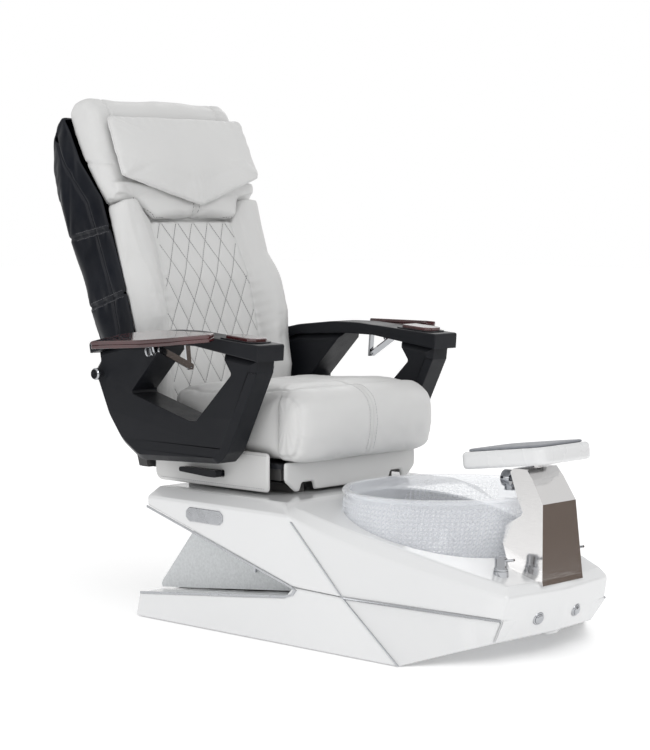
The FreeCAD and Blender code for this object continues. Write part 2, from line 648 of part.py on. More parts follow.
def make_back():
    pieces = [rod("hinge_pin_radius", "530", (-265, 0, 0), TO_X, BACK)]
    for x in (-250, 225):
        pieces.append(block("25", "25", "600", (x, 0, 0), frame=BACK))
    for z in (60, 575):
        pieces.append(block("460", "25", "25", (-230, 18, z), frame=BACK))
    for x in (-1, 1):
        pieces.append(rod("massage_rod_radius", "510", (x * size("massage_rod_offset"), 30, 75),
                          frame=BACK))
    lever = plate([(632, 400, 7), (648, 400, 7), (650, 455), (630, 455)], "12", (-6, 0, 0), SIDE_ON)
    node("back_frame", fuse(lever, *pieces))

    half, wall = size("back_half_width"), size("vinyl_wall")
    outline = [(-22, 20), (70, 20, 20), (101, 326), (104, 440), (127, 589, 120), (147, 710, 120),
               (140, 800, 90),
               (117, 873, 60), (84, 914, 18), (62, 920, 8), (52, 870), (38, 780), (-46, 610), (-58, 450),
               (-60, 300), (-40, 130)]
    inner = [(-80, 14), (62, 14), (96, 326), (99, 440), (122, 590), (141, 710), (134, 798), (111, 868),
             (80, 906), (66, 912), (30, 912), (0, 780), (-80, 600)]
    skin = plate(outline, "back_half_width * 2", (-half, 0, 0), SIDE_ON, BACK)
    core = plate(inner, "back_half_width * 2 - vinyl_wall * 2", (-half + wall, 0, 0), SIDE_ON, BACK)
    node("back_shell", cut(skin, core))

    front = [(-26, 12), (-60, 12, 14), (-78, 150), (-84, 226, 200), (-112, 420, 200), (-94, 560),
             (-90, 640),
             (-26, 640)]
    centre = plate(front, "back_cushion_half_width * 2", (-size("back_cushion_half_width"), 0, 0),
                   SIDE_ON, BACK)
    wing = [(-26, 12), (-60, 12, 14), (-66, 70), (-108, 160), (-120, 226, 200), (-146, 420, 200),
            (-126, 560),
            (-108, 640), (-26, 640)]
    bolsters = [plate(wing, "bolster_width", (x, 0, 0), SIDE_ON, BACK)
                for x in (-size("back_cushion_half_width"),
                          size("back_cushion_half_width") - size("bolster_width"))]
    node("back_cushion", fuse(centre, *bolsters))
    head = [(-26, 642), (-90, 642), (-88, 700), (-78, 820), (-72, 915, 40), (-44, 955, 26), (20, 958, 30),
            (52, 928, 10), (44, 870), (28, 778)]
    node("head_cushion", plate(head, "head_half_width * 2", (-size("head_half_width"), 0, 0), SIDE_ON,
                               BACK))
    shield = [(-250, 872, 18), (-258, 688, 14), (0, 603, 20), (258, 688, 14), (250, 872, 18)]
    hang = BACK.multiply(Placement(Vector(0, size("pillow_line"), size("pillow_level")),
                                   Rotation(Vector(1, 0, 0), -size("pillow_lean"))))
    pillow = plate(shield, "pillow_thickness", (0, 0, -872), FACE_ON, hang)
    node("head_pillow", fuse(pillow, rod("3", "440", (-220, 0, 0), TO_X, hang)))

    gap = size("running_gap")
    carriage = block("236", "24", "80", (-118, 18, 170), frame=BACK)
    for x in (-1, 1):
        carriage = cut(carriage, rod("massage_rod_radius + running_gap", "100",
                                     (x * size("massage_rod_offset"), 30, 160), frame=BACK))
    ears = [plate([(-8, 198, 6), (20, 186), (20, 234), (-8, 222, 6)], "6", (x, 0, 0), SIDE_ON, BACK,
                  holes=[(0, 210, 5 + gap)]) for x in (-72, 66)]
    node("massage_carriage", fuse(carriage, *ears))
    axle = rod("5", "150", (-75, 0, 210), TO_X, BACK)
    wheels = [rod("roller_radius", "26", (x, 0, 210), TO_X, BACK) for x in (-56, 30)]
    node("massage_rollers", fuse(axle, *wheels))


# ---------------------------------------------------------------- arms

BEAM_UNDER = [(722, 684), (600, 712), (430, 721), (320, 720), (218, 706), (96, 690)]


def make_arm():
    outer = -size("arm_inner") - size("arm_width")
    pivot = (size("arm_pivot_line"), size("arm_pivot_level"))
    edge = [(116, 660, 6), (177, 537, 60), (218, 456, 30), (250, 426, 20), (540, 414, 60), (612, 458, 120),
            (662, 520, 120), (706, 612, 60), (725, 630, 8), (695, 667, 6)]
    seam = [(BEAM_UNDER[0][0] - 20, BEAM_UNDER[0][1] + 4)] + BEAM_UNDER[1:-1] + [(112, 692)]
    window = [(566, 588, 8), (345, 530, 14), (318, 531, 10), (190, 655, 8), (222, 700, 8), (236, 735),
              (420, 735)]
    panel = plate(edge + seam, "arm_width", (outer, 0, 0), SIDE_ON)
    opening = plate(window, "arm_width + 4", (outer - 2, 0, 0), SIDE_ON)
    bore = rod("stud_radius + running_gap", "46", (-336, pivot[0], pivot[1]), TO_X)
    pair("arm_panel", cut(cut(panel, opening), bore))

    over = size("beam_overhang")
    top = [(93, 731, 6), (381, 753, 500), (470, 753, 300), (600, 740, 300), (728, 714, 12)]
    beam = plate(BEAM_UNDER + top, "arm_width + beam_overhang * 2", (outer - over, 0, 0), SIDE_ON)
    pair("arm_beam", beam)

    slope = math.degrees(math.atan2(22, 288))
    rim = [(-60, -28), (-50, -37), (50, -37), (62, -20), (62, 20), (50, 37), (-50, 37), (-60, 28)]
    lie = Rotation(Vector(1, 0, 0), slope)
    dish = plate([(y, x) for x, y in rim], "9", (-336, 182, 731 + (182 - 93) * 22 / 288 + 0.1), lie,
                 taper=-35)
    pair("arm_dish", dish)

    cap = [(0, 0), (16, 0), (16, 8), (13, 12), (0, 12)]
    knob = fuse(turned(cap, (outer - 14, pivot[0], pivot[1]), Rotation(Vector(0, 0, 1), Vector(-1, 0, 0))),
                rod("11", "14", (outer - 14, pivot[0], pivot[1]), TO_X))
    pair("arm_knob", knob)

    # tray brace: a hanging leg under the beam with the elbow pin
    leg = plate([(-340, 656, 4), (-354, 656, 4), (-362, 721), (-346, 721)], "brace_thickness",
                (0, 380, 0), FACE_ON)
    elbow = rod("brace_pin_radius", "16", (-347, 364, 663), TO_Y)
    pair("tray_bracket", cut(fuse(leg, elbow), beam))
    link = plate([(-340, 656, 6), (-352, 657, 6), (-461, 708, 5), (-458, 720, 5), (-448, 720, 5),
                  (-342, 671, 6)],
                 "brace_thickness", (0, 372, 0), FACE_ON,
                 holes=[(-347, 663, size("brace_pin_radius") + size("running_gap"))])
    pair("tray_brace", link)

    hinge = Placement(Vector(-size("tray_hinge_offset"), 0, size("tray_hinge_level")),
                      Rotation(Vector(0, 1, 0), -size("tray_slope")))
    leaf = [(-12, 427), (-49, 456, 30), (-104, 477, 60), (-176, 467, 60), (-222, 459, 6), (-209, 440, 20),
            (-165, 334, 60), (-117, 278, 60), (-43, 212, 12), (-14, 225, 8)]
    rise = size("tray_top_rise") - size("tray_thickness")
    top = plate(leaf, "tray_thickness", (0, 0, rise), frame=hinge)
    barrel = fuse(rod("4", "46", (0, 250, 0), TO_Y, frame=hinge),
                  block("22", "46", "2.5", (-22, 250, 0.5), frame=hinge))
    ear = plate([(-78, -26, 6), (-62, -26, 6), (-56, rise + 1), (-84, rise + 1)], "brace_thickness",
                (0, 380, 0), FACE_ON, hinge)
    pair("service_tray", fuse(top, barrel, ear))


def finish():
    doc.recompute()
    faults = [o.Name for o in doc.Objects if "Invalid" in o.State or "Error" in o.State]
    for name, piece in NODES.items():
        shape = piece.Shape
        if shape.isNull() or not shape.isValid() or not shape.Solids:
            faults.append(name)
    if faults:
        raise RuntimeError("failed objects: " + ", ".join(faults))
    os.makedirs("parts", exist_ok=True)
    for name, piece in NODES.items():
        piece.Shape.exportStep("parts/%s.step" % name)
    print(len(NODES), "nodes")


make_base()
make_seat()
make_back()
make_arm()
finish()
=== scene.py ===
import json
import math

import bmesh
import bpy
import numpy as np
from bpy.props import FloatProperty, FloatVectorProperty, IntProperty, PointerProperty
from mathutils import Matrix, Vector
from mathutils.bvhtree import BVHTree


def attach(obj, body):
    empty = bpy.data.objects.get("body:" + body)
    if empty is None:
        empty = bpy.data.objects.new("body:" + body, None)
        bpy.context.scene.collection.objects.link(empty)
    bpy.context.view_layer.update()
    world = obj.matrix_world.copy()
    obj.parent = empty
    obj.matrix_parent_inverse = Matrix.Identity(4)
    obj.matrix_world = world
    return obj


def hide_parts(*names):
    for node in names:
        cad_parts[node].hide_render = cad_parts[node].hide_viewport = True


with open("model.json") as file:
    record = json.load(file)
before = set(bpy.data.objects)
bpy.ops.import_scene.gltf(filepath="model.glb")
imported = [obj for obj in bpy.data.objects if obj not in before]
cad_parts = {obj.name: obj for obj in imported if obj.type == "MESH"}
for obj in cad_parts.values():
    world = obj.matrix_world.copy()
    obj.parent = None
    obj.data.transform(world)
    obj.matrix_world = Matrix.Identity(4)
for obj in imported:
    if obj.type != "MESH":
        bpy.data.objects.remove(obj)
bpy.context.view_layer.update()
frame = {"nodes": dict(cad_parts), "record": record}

bl_info = {
    "name": "Pedicure spa chair",
    "version": (1, 0, 0),
    "blender": (4, 5, 0),
    "location": "3D View > Sidebar > Spa chair",
    "description": "Upholstery, mouldings, finishes and studio for a pedicure spa chair on its packed frame",
    "category": "Object",
}

NODES = frame["nodes"]
MM = 0.001

# local x along Y, local y along Z, local z along X
SIDE_ON = Matrix(((0, 0, 1, 0), (1, 0, 0, 0), (0, 1, 0, 0), (0, 0, 0, 1)))
# local x along X, local y along Z, local z along -Y
FACE_ON = Matrix(((1, 0, 0, 0), (0, 0, -1, 0), (0, 1, 0, 0), (0, 0, 0, 1)))
FLAT = Matrix.Identity(4)
LEAN = math.radians(17)
HINGE = (0, 640, 455)
BACK = Matrix.Translation(HINGE) @ Matrix.Rotation(-LEAN, 4, "X")
PILLOW_PIVOT, PILLOW_LEAN = (0, -79, 872), math.radians(7.2)
HANG = BACK @ Matrix.Translation(PILLOW_PIVOT) @ Matrix.Rotation(-PILLOW_LEAN, 4, "X")
INTO_BACK = (BACK.to_3x3() @ Vector((0, 1, 0))).normalized()


# ------------------------------------------------------------------ settings

class ChairFinish(bpy.types.PropertyGroup):
    """Colours of the chair's finishes"""
    leather: FloatVectorProperty(name="Leather", description="Colour of the upholstery leather",
                                 default=(0.66, 0.66, 0.655), subtype="COLOR", min=0, max=1)
    vinyl: FloatVectorProperty(name="Vinyl", description="Colour of the back's side and rear panels",
                               default=(0.007, 0.0085, 0.013), subtype="COLOR", min=0, max=1)
    plastic: FloatVectorProperty(name="Arm plastic", description="Colour of the moulded arms",
                                 default=(0.009, 0.010, 0.013), subtype="COLOR", min=0, max=1)
    lacquer: FloatVectorProperty(name="Lacquer", description="Colour of the lacquered trays",
                                 default=(0.060, 0.006, 0.008), subtype="COLOR", min=0, max=1)
    gelcoat: FloatVectorProperty(name="Gelcoat", description="Colour of the base mouldings",
                                 default=(0.74, 0.745, 0.75), subtype="COLOR", min=0, max=1)
    steel: FloatVectorProperty(name="Tower steel", description="Colour of the polished tower",
                               default=(0.80, 0.79, 0.785), subtype="COLOR", min=0, max=1)


class ChairPadding(bpy.types.PropertyGroup):
    """Sizes of the padding and the stitching"""
    voxel: FloatProperty(name="Cloth grain", description="Cell size of the cloth that is simulated",
                         default=0.0065, unit="LENGTH", min=0.004, max=0.02)
    pressure: FloatProperty(name="Stuffing pressure", description="How hard the stuffing pushes on the cover",
                            default=4.0, min=0, max=20)
    seam_depth: FloatProperty(name="Seam depth", description="How far a sewn seam pulls in",
                              default=0.0042, unit="LENGTH", min=0, max=0.02)
    seam_width: FloatProperty(name="Seam width", description="Half width of the hollow along a seam",
                              default=0.0042, unit="LENGTH", min=0.001, max=0.03)
    stitch: FloatProperty(name="Stitch length", description="Length of one stitch",
                          default=0.0055, unit="LENGTH", min=0.002, max=0.02)
    knobs: IntProperty(name="Bowl knobs", description="Number of cast knobs around the foot bowl",
                       default=124, min=24, max=240)


class ChairStudio(bpy.types.PropertyGroup):
    """Camera and light of the studio"""
    camera_at: FloatVectorProperty(name="Camera", description="Place of the camera",
                                   default=(-3.93877, -3.44413, 1.05052), subtype="TRANSLATION", unit="LENGTH")
    camera_turn: FloatProperty(name="Camera turn", description="Heading of the camera",
                               default=math.radians(-47.016), subtype="ANGLE")
    camera_pitch: FloatProperty(name="Camera pitch", description="How far the camera looks down",
                                default=math.radians(4.4606), subtype="ANGLE")
    lens: FloatProperty(name="Lens", description="Focal length in millimetres", default=98.73, min=20, max=300)
    key: FloatProperty(name="Key light", description="Power of the large soft box", default=50, min=0, max=2000)
    fill: FloatProperty(name="Fill light", description="Power of the fill light", default=18, min=0, max=2000)
    floor: FloatVectorProperty(name="Floor", description="Colour of the floor", default=(0.97, 0.97, 0.97),
                               subtype="COLOR", min=0, max=1)


# ------------------------------------------------------------------ shape makers

def arc_corner(before, point, after, radius, steps):
    """Points of the arc that rounds one corner of an outline."""
    corner = Vector(point[:2])
    along = (Vector(before[:2]) - corner).normalized()
    away = (Vector(after[:2]) - corner).normalized()
    half = along.angle(away) / 2
    reach = radius / math.tan(half)
    centre = corner + (along + away).normalized() * (radius / math.sin(half))
    start, end = corner + along * reach - centre, corner + away * reach - centre
    turn = start.angle_signed(end)
    return [centre + Matrix.Rotation(-turn * k / steps, 2) @ start for k in range(steps + 1)]


def rounded(outline, steps=8):
    """An outline of (x, y[, corner radius]) points with its corners drawn out as arcs."""
    drawn = []
    for k, point in enumerate(outline):
        if len(point) > 2:
            drawn += arc_corner(outline[k - 1], point, outline[(k + 1) % len(outline)], point[2], steps)
        else:
            drawn.append(Vector(point[:2]))
    return drawn


def mesh_object(name, verts, faces, crisp=38):
    """A named object from points in metres; faces turned outwards and smooth below the crisp angle."""
    mesh = bpy.data.meshes.new(name)
    mesh.from_pydata([tuple(v) for v in verts], [], faces)
    piece = bpy.data.objects.new(name, mesh)
    bpy.context.scene.collection.objects.link(piece)
    tidy_mesh(piece, crisp)
    return piece


def tidy_mesh(piece, crisp=38, merge=1e-6):
    """Weld, face outwards and smooth."""
    work = bmesh.new()
    work.from_mesh(piece.data)
    bmesh.ops.remove_doubles(work, verts=work.verts, dist=merge)
    bmesh.ops.dissolve_degenerate(work, edges=work.edges, dist=merge)
    loose = [v for v in work.verts if not v.link_faces]
    bmesh.ops.delete(work, geom=loose, context="VERTS")
    bmesh.ops.recalc_face_normals(work, faces=work.faces)
    work.to_mesh(piece.data)
    work.free()
    piece.data.shade_smooth()
    piece.data.set_sharp_from_angle(angle=math.radians(crisp))


def settle(piece, crisp=38):
    """Turn the piece's modifiers into its mesh."""
    bpy.context.view_layer.update()
    shape = piece.evaluated_get(bpy.context.evaluated_depsgraph_get())
    mesh = bpy.data.meshes.new_from_object(shape)
    mesh.transform(piece.matrix_world)
    piece.modifiers.clear()
    piece.matrix_world = Matrix.Identity(4)
    old, piece.data = piece.data, mesh
    bpy.data.meshes.remove(old)
    mesh.name = piece.name
    tidy_mesh(piece, crisp)
    return piece


def plate(name, outlines, depth, at=(0, 0, 0), frame_to=FLAT, edge=2.0, steps=3, crisp=38):
    """A plate with rounded edges from outlines in millimetres, the first outside and the rest holes."""
    curve = bpy.data.curves.new(name, "CURVE")
    curve.dimensions, curve.fill_mode = "2D", "BOTH"
    curve.extrude, curve.bevel_depth, curve.offset = depth / 2 - edge, edge, -edge
    curve.bevel_resolution = steps
    for outline in outlines:
        points = rounded(outline)
        line = curve.splines.new("POLY")
        line.points.add(len(points) - 1)
        for spot, point in zip(line.points, points):
            spot.co = (point[0], point[1], 0, 1)
        line.use_cyclic_u = True
    drawn = bpy.data.objects.new(name, curve)
    bpy.context.scene.collection.objects.link(drawn)
    bpy.context.view_layer.update()
    mesh = bpy.data.meshes.new_from_object(drawn.evaluated_get(bpy.context.evaluated_depsgraph_get()))
    bpy.data.objects.remove(drawn)
    bpy.data.curves.remove(curve)
    mesh.name = name
    mesh.materials.clear()
    move = Matrix.Scale(MM, 4) @ frame_to @ Matrix.Translation(Vector(at) + Vector((0, 0, depth / 2)))
    mesh.transform(move)
    piece = bpy.data.objects.new(name, mesh)
    bpy.context.scene.collection.objects.link(piece)
    tidy_mesh(piece, crisp)
    return piece


def revolved(name, profile, frame_to, turns=48, crisp=30):
    """A turned piece: profile of (radius, height) in millimetres about the frame's z."""
    verts, faces = [], []
    count = len(profile)
    for k in range(turns):
        angle = 2 * math.pi * k / turns
        for radius, height in profile:
            spot = frame_to @ Vector((radius * math.cos(angle), radius * math.sin(angle), height))
            verts.append(spot * MM)
        for j in range(count):
            here, there = k * count, (k + 1) % turns * count
            faces.append((here + j, there + j, there + (j + 1) % count, here + (j + 1) % count))
    return mesh_object(name, verts, faces, crisp)


def grid_faces(rows, columns, closed=False, start=0):
    """Quads over points stored row by row."""
    faces = []
    for r in range(rows - 1):
        for c in range(columns if closed else columns - 1):
            here, there = start + r * columns, start + (r + 1) * columns
            n = (c + 1) % columns
            faces.append((here + c, here + n, there + n, there + c))
    return faces


def thread(name, points, radius=0.0011, sides=6, closed=False):
    """A round cord or wire through points in metres."""
    count = len(points)
    verts = []
    side = None
    for k, point in enumerate(points):
        before = points[k - 1] if k or closed else points[0]
        after = points[(k + 1) % count] if k < count - 1 or closed else points[-1]
        along = (Vector(after) - Vector(before)).normalized()
        if side is None:
            side = along.orthogonal().normalized()
        side = (side - along * side.dot(along)).normalized()
        other = along.cross(side)
        for j in range(sides):
            angle = 2 * math.pi * j / sides
            verts.append(Vector(point) + (side * math.cos(angle) + other * math.sin(angle)) * radius)
    faces = []
    for k in range(count if closed else count - 1):
        here, there = k * sides, (k + 1) % count * sides
        for j in range(sides):
            n = (j + 1) % sides
            faces.append((here + j, there + j, there + n, here + n))
    if not closed:
        faces.append(tuple(range(sides)))
        faces.append(tuple(range((count - 1) * sides, count * sides))[::-1])
    return mesh_object(name, verts, faces)


def joined(name, parts):
    """Several objects as one mesh."""
    work = bmesh.new()
    for part in parts:
        work.from_mesh(part.data)
    mesh = bpy.data.meshes.new(name)
    work.to_mesh(mesh)
    work.free()
    for part in parts:
        old = part.data
        bpy.data.objects.remove(part)
        bpy.data.meshes.remove(old)
    piece = bpy.data.objects.new(name, mesh)
    bpy.context.scene.collection.objects.link(piece)
    return piece


def carved(piece, *tools, crisp=38):
    """Cut tools out of a piece."""
    for tool in tools:
        cut = piece.modifiers.new("Cut", "BOOLEAN")
        cut.operation, cut.solver, cut.object = "DIFFERENCE", "EXACT", tool
    settle(piece, crisp)
    for tool in tools:
        bpy.data.objects.remove(tool)
    return piece


def eased(piece, width, segments=2, angle=30, crisp=38):
    """Round the piece's sharp edges."""
    round_off = piece.modifiers.new("Ease", "BEVEL")
    round_off.width, round_off.segments = width * MM, segments
    round_off.limit_method, round_off.angle_limit = "ANGLE", math.radians(angle)
    round_off.use_clamp_overlap = False
    return settle(piece, crisp)


def mirror_of(piece, name):
    """The piece's mirror image across the chair's middle."""
    mesh = piece.data.copy()
    mesh.name = name
    mesh.transform(Matrix.Scale(-1, 4, (1, 0, 0)))
    mesh.flip_normals()
    twin = bpy.data.objects.new(name, mesh)
    bpy.context.scene.collection.objects.link(twin)
    return twin


def coordinates(piece, frame_from=None):
    """The piece's points as an array, in millimetres of a frame if one is given."""
    spots = np.empty(len(piece.data.vertices) * 3)
    piece.data.vertices.foreach_get("co", spots)
    spots = spots.reshape(-1, 3)
    if frame_from is None:
        return spots
    back = np.array(frame_from.inverted())
    return (spots / MM) @ back[:3, :3].T + back[:3, 3]


def normals(piece):
    """The direction each point faces."""
    out = np.empty(len(piece.data.vertices) * 3)
    piece.data.vertices.foreach_get("normal", out)
    return out.reshape(-1, 3)


def place_points(piece, spots, frame_to=FLAT):
    """Set the piece's points from millimetres in a frame."""
    spots = (spots @ np.array(frame_to.to_3x3()).T + np.array(frame_to.translation)) * MM
    piece.data.vertices.foreach_set("co", spots.ravel())
    piece.data.update()


def shift_points(piece, amount):
    """Move every point along its own normal by an array of metres."""
    moved = coordinates(piece) + normals(piece) * amount[:, None]
    piece.data.vertices.foreach_set("co", moved.ravel())
    piece.data.update()


def remesh(piece, voxel, smooth=6):
    """Redraw the piece in even cells and relax them."""
    cells = piece.modifiers.new("Cells", "REMESH")
    cells.mode, cells.voxel_size = "VOXEL", voxel
    if smooth:
        relax = piece.modifiers.new("Relax", "SMOOTH")
        relax.factor, relax.iterations = 0.5, smooth
    return settle(piece)


def stuffed(piece, held, reach, pressure=None, frames=20, stretch=12.0):
    """Blow a cover up with cloth simulation; held is 1 where it is sewn or glued down."""
    padding = bpy.context.scene.chair_padding
    start = coordinates(piece)
    group = piece.vertex_groups.new(name="Held")
    for index in np.nonzero(held > 0.01)[0]:
        group.add([int(index)], float(held[index]), "REPLACE")
    cloth = piece.modifiers.new("Cover", "CLOTH")
    weave = cloth.settings
    weave.quality, weave.mass = 6, 0.3
    weave.tension_stiffness = weave.compression_stiffness = stretch
    weave.shear_stiffness, weave.bending_stiffness = stretch / 2, 0.4
    weave.vertex_group_mass, weave.pin_stiffness = "Held", 1.0
    weave.use_pressure = True
    weave.uniform_pressure_force = padding.pressure if pressure is None else pressure
    weave.effector_weights.gravity = 0
    cloth.collision_settings.use_collision = False
    cloth.point_cache.frame_start, cloth.point_cache.frame_end = 1, frames
    scene = bpy.context.scene
    for step in range(1, frames + 1):
        scene.frame_set(step)
    shape = piece.evaluated_get(bpy.context.evaluated_depsgraph_get())
    end = np.empty(len(start) * 3)
    shape.data.vertices.foreach_get("co", end)
    piece.modifiers.remove(cloth)
    piece.vertex_groups.clear()
    scene.frame_set(1)
    move = end.reshape(-1, 3) - start
    length = np.linalg.norm(move, axis=1)
    limit = reach * np.tanh(length / reach) / np.maximum(length, 1e-9)
    piece.data.vertices.foreach_set("co", (start + move * limit[:, None]).ravel())
    piece.data.update()


def finer(piece, levels=1):
    """Subdivide the piece."""
    divide = piece.modifiers.new("Finer", "SUBSURF")
    divide.levels = divide.render_levels = levels
    return settle(piece, 80)


def hollow(distance, width, depth):
    """Height of a sewn line at a distance from it."""
    return -depth * np.exp(-(distance / width) ** 2)


def line_distance(spots, path):
    """Distance of 2-D points from a polyline, and how far along it they are."""
    best = np.full(len(spots), 1e9)
    along = np.zeros(len(spots))
    run = 0.0
    for a, b in zip(path, path[1:]):
        a, b = np.array(a, float), np.array(b, float)
        edge = b - a
        length = np.linalg.norm(edge)
        t = np.clip(((spots - a) @ edge) / length ** 2, 0, 1)
        gap = np.linalg.norm(spots - a - t[:, None] * edge, axis=1)
        near = gap < best
        best[near], along[near] = gap[near], run + t[near] * length
        run += length
    return best, along


def soft_noise(spots, scale, seed=0):
    """Smooth pseudo-random height from a few fixed waves; spots in millimetres."""
    total = np.zeros(len(spots))
    for k in range(7):
        turn = 1.7 * k + 0.9 * seed
        wave = np.array((math.cos(turn), math.sin(1.3 * turn + 1), math.cos(2.1 * turn + 2)))
        total += np.sin(spots @ wave * (2 * math.pi / scale) * (0.6 + 0.22 * k) + 2.4 * k + seed)
    return total / 7


def stitches(name, surface, lines, frame_to, look, radius=0.00075, gap=1.5):
    """Rows of stitches: each line is points in a frame, dropped on the surface along its look direction."""
    tree = BVHTree.FromObject(surface, bpy.context.evaluated_depsgraph_get())
    length = bpy.context.scene.chair_padding.stitch
    parts = []
    for line in lines:
        spots = [frame_to @ Vector(p) * MM for p in line]
        run = sum((b - a).length for a, b in zip(spots, spots[1:]))
        count = max(1, int(run / (length * gap)))
        for k in range(count):
            ends = []
            for t in (k / count, (k + 1 / gap) / count):
                goal, walked = t * run, 0.0
                for a, b in zip(spots, spots[1:]):
                    step = (b - a).length
                    if walked + step >= goal or b is spots[-1]:
                        ends.append(a.lerp(b, min(1, (goal - walked) / max(step, 1e-9))))
                        break
                    walked += step
            dropped = []
            for end in ends:
                if look is None:
                    hit = tree.find_nearest(end)[0]
                else:
                    hit = tree.ray_cast(end - look * 0.15, look, 0.3)[0]
                if hit is not None:
                    dropped.append(hit)
            if len(dropped) == 2 and 0.0005 < (dropped[1] - dropped[0]).length < 0.02:
                a, b = dropped
                parts.append(thread("stitch", [a, a.lerp(b, 0.5), b], radius, 5))
    if not parts:
        raise RuntimeError(name + " has no stitches")
    return joined(name, parts)


def built(piece, body, slot, finish, *nodes, fill=None, rigid=False):
    """Finish a piece, let it ride and stand for its CAD nodes."""
    piece.data.materials.clear()
    piece.data.materials.append(finish)
    if rigid:
        flatten = piece.modifiers.new("Normals", "WEIGHTED_NORMAL")
        flatten.keep_sharp = True
    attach(piece, body)
    if nodes:
        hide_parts(*nodes)
    return piece


def dressed(finish, *names):
    """Give CAD nodes a finish."""
    for name in names:
        mesh = NODES[name].data
        if not mesh.materials:
            mesh.materials.append(finish)
        for index in range(len(mesh.materials)):
            mesh.materials[index] = finish


# ------------------------------------------------------------------ finishes

def shader_group(name, inputs, outputs):
    """An empty node group with named sockets; returns the group, its input node and its output node."""
    tree = bpy.data.node_groups.new(name, "ShaderNodeTree")
    for label, kind, value in inputs:
        socket = tree.interface.new_socket(name=label, in_out="INPUT", socket_type="NodeSocket" + kind)
        if value is not None:
            socket.default_value = value
    for label, kind in outputs:
        tree.interface.new_socket(name=label, in_out="OUTPUT", socket_type="NodeSocket" + kind)
    return tree, tree.nodes.new("NodeGroupInput"), tree.nodes.new("NodeGroupOutput")


def noise_node(tree, source, scale_from, detail, stretch=None):
    """A noise texture whose scale is a group input."""
    cloud = tree.nodes.new("ShaderNodeTexNoise")
    cloud.inputs["Detail"].default_value = detail
    vector = source.outputs["Vector"]
    if stretch:
        squeeze = tree.nodes.new("ShaderNodeMapping")
        squeeze.inputs["Scale"].default_value = stretch
        tree.links.new(vector, squeeze.inputs["Vector"])
        vector = squeeze.outputs["Vector"]
    tree.links.new(vector, cloud.inputs["Vector"])
    tree.links.new(source.outputs[scale_from], cloud.inputs["Scale"])
    return cloud


def feed(tree, value, socket):
    """Link a socket to the value, or set it to the value when that is a number or colour."""
    if hasattr(value, "links"):
        tree.links.new(value, socket)
    else:
        socket.default_value = value


def colour_mix(tree, factor, first, second, blend="MIX"):
    """Mix two colours by a factor."""
    mix = tree.nodes.new("ShaderNodeMix")
    mix.data_type, mix.blend_type = "RGBA", blend
    tree.links.new(factor, mix.inputs["Factor"])
    feed(tree, first, mix.inputs["A"])
    feed(tree, second, mix.inputs["B"])
    return mix.outputs["Result"]


def ranged(tree, value, low, high, to_low, to_high):
    """Map a value from one range to another."""
    fit = tree.nodes.new("ShaderNodeMapRange")
    tree.links.new(value, fit.inputs["Value"])
    for label, number in (("From Min", low), ("From Max", high), ("To Min", to_low), ("To Max", to_high)):
        feed(tree, number, fit.inputs[label])
    return fit.outputs["Result"]


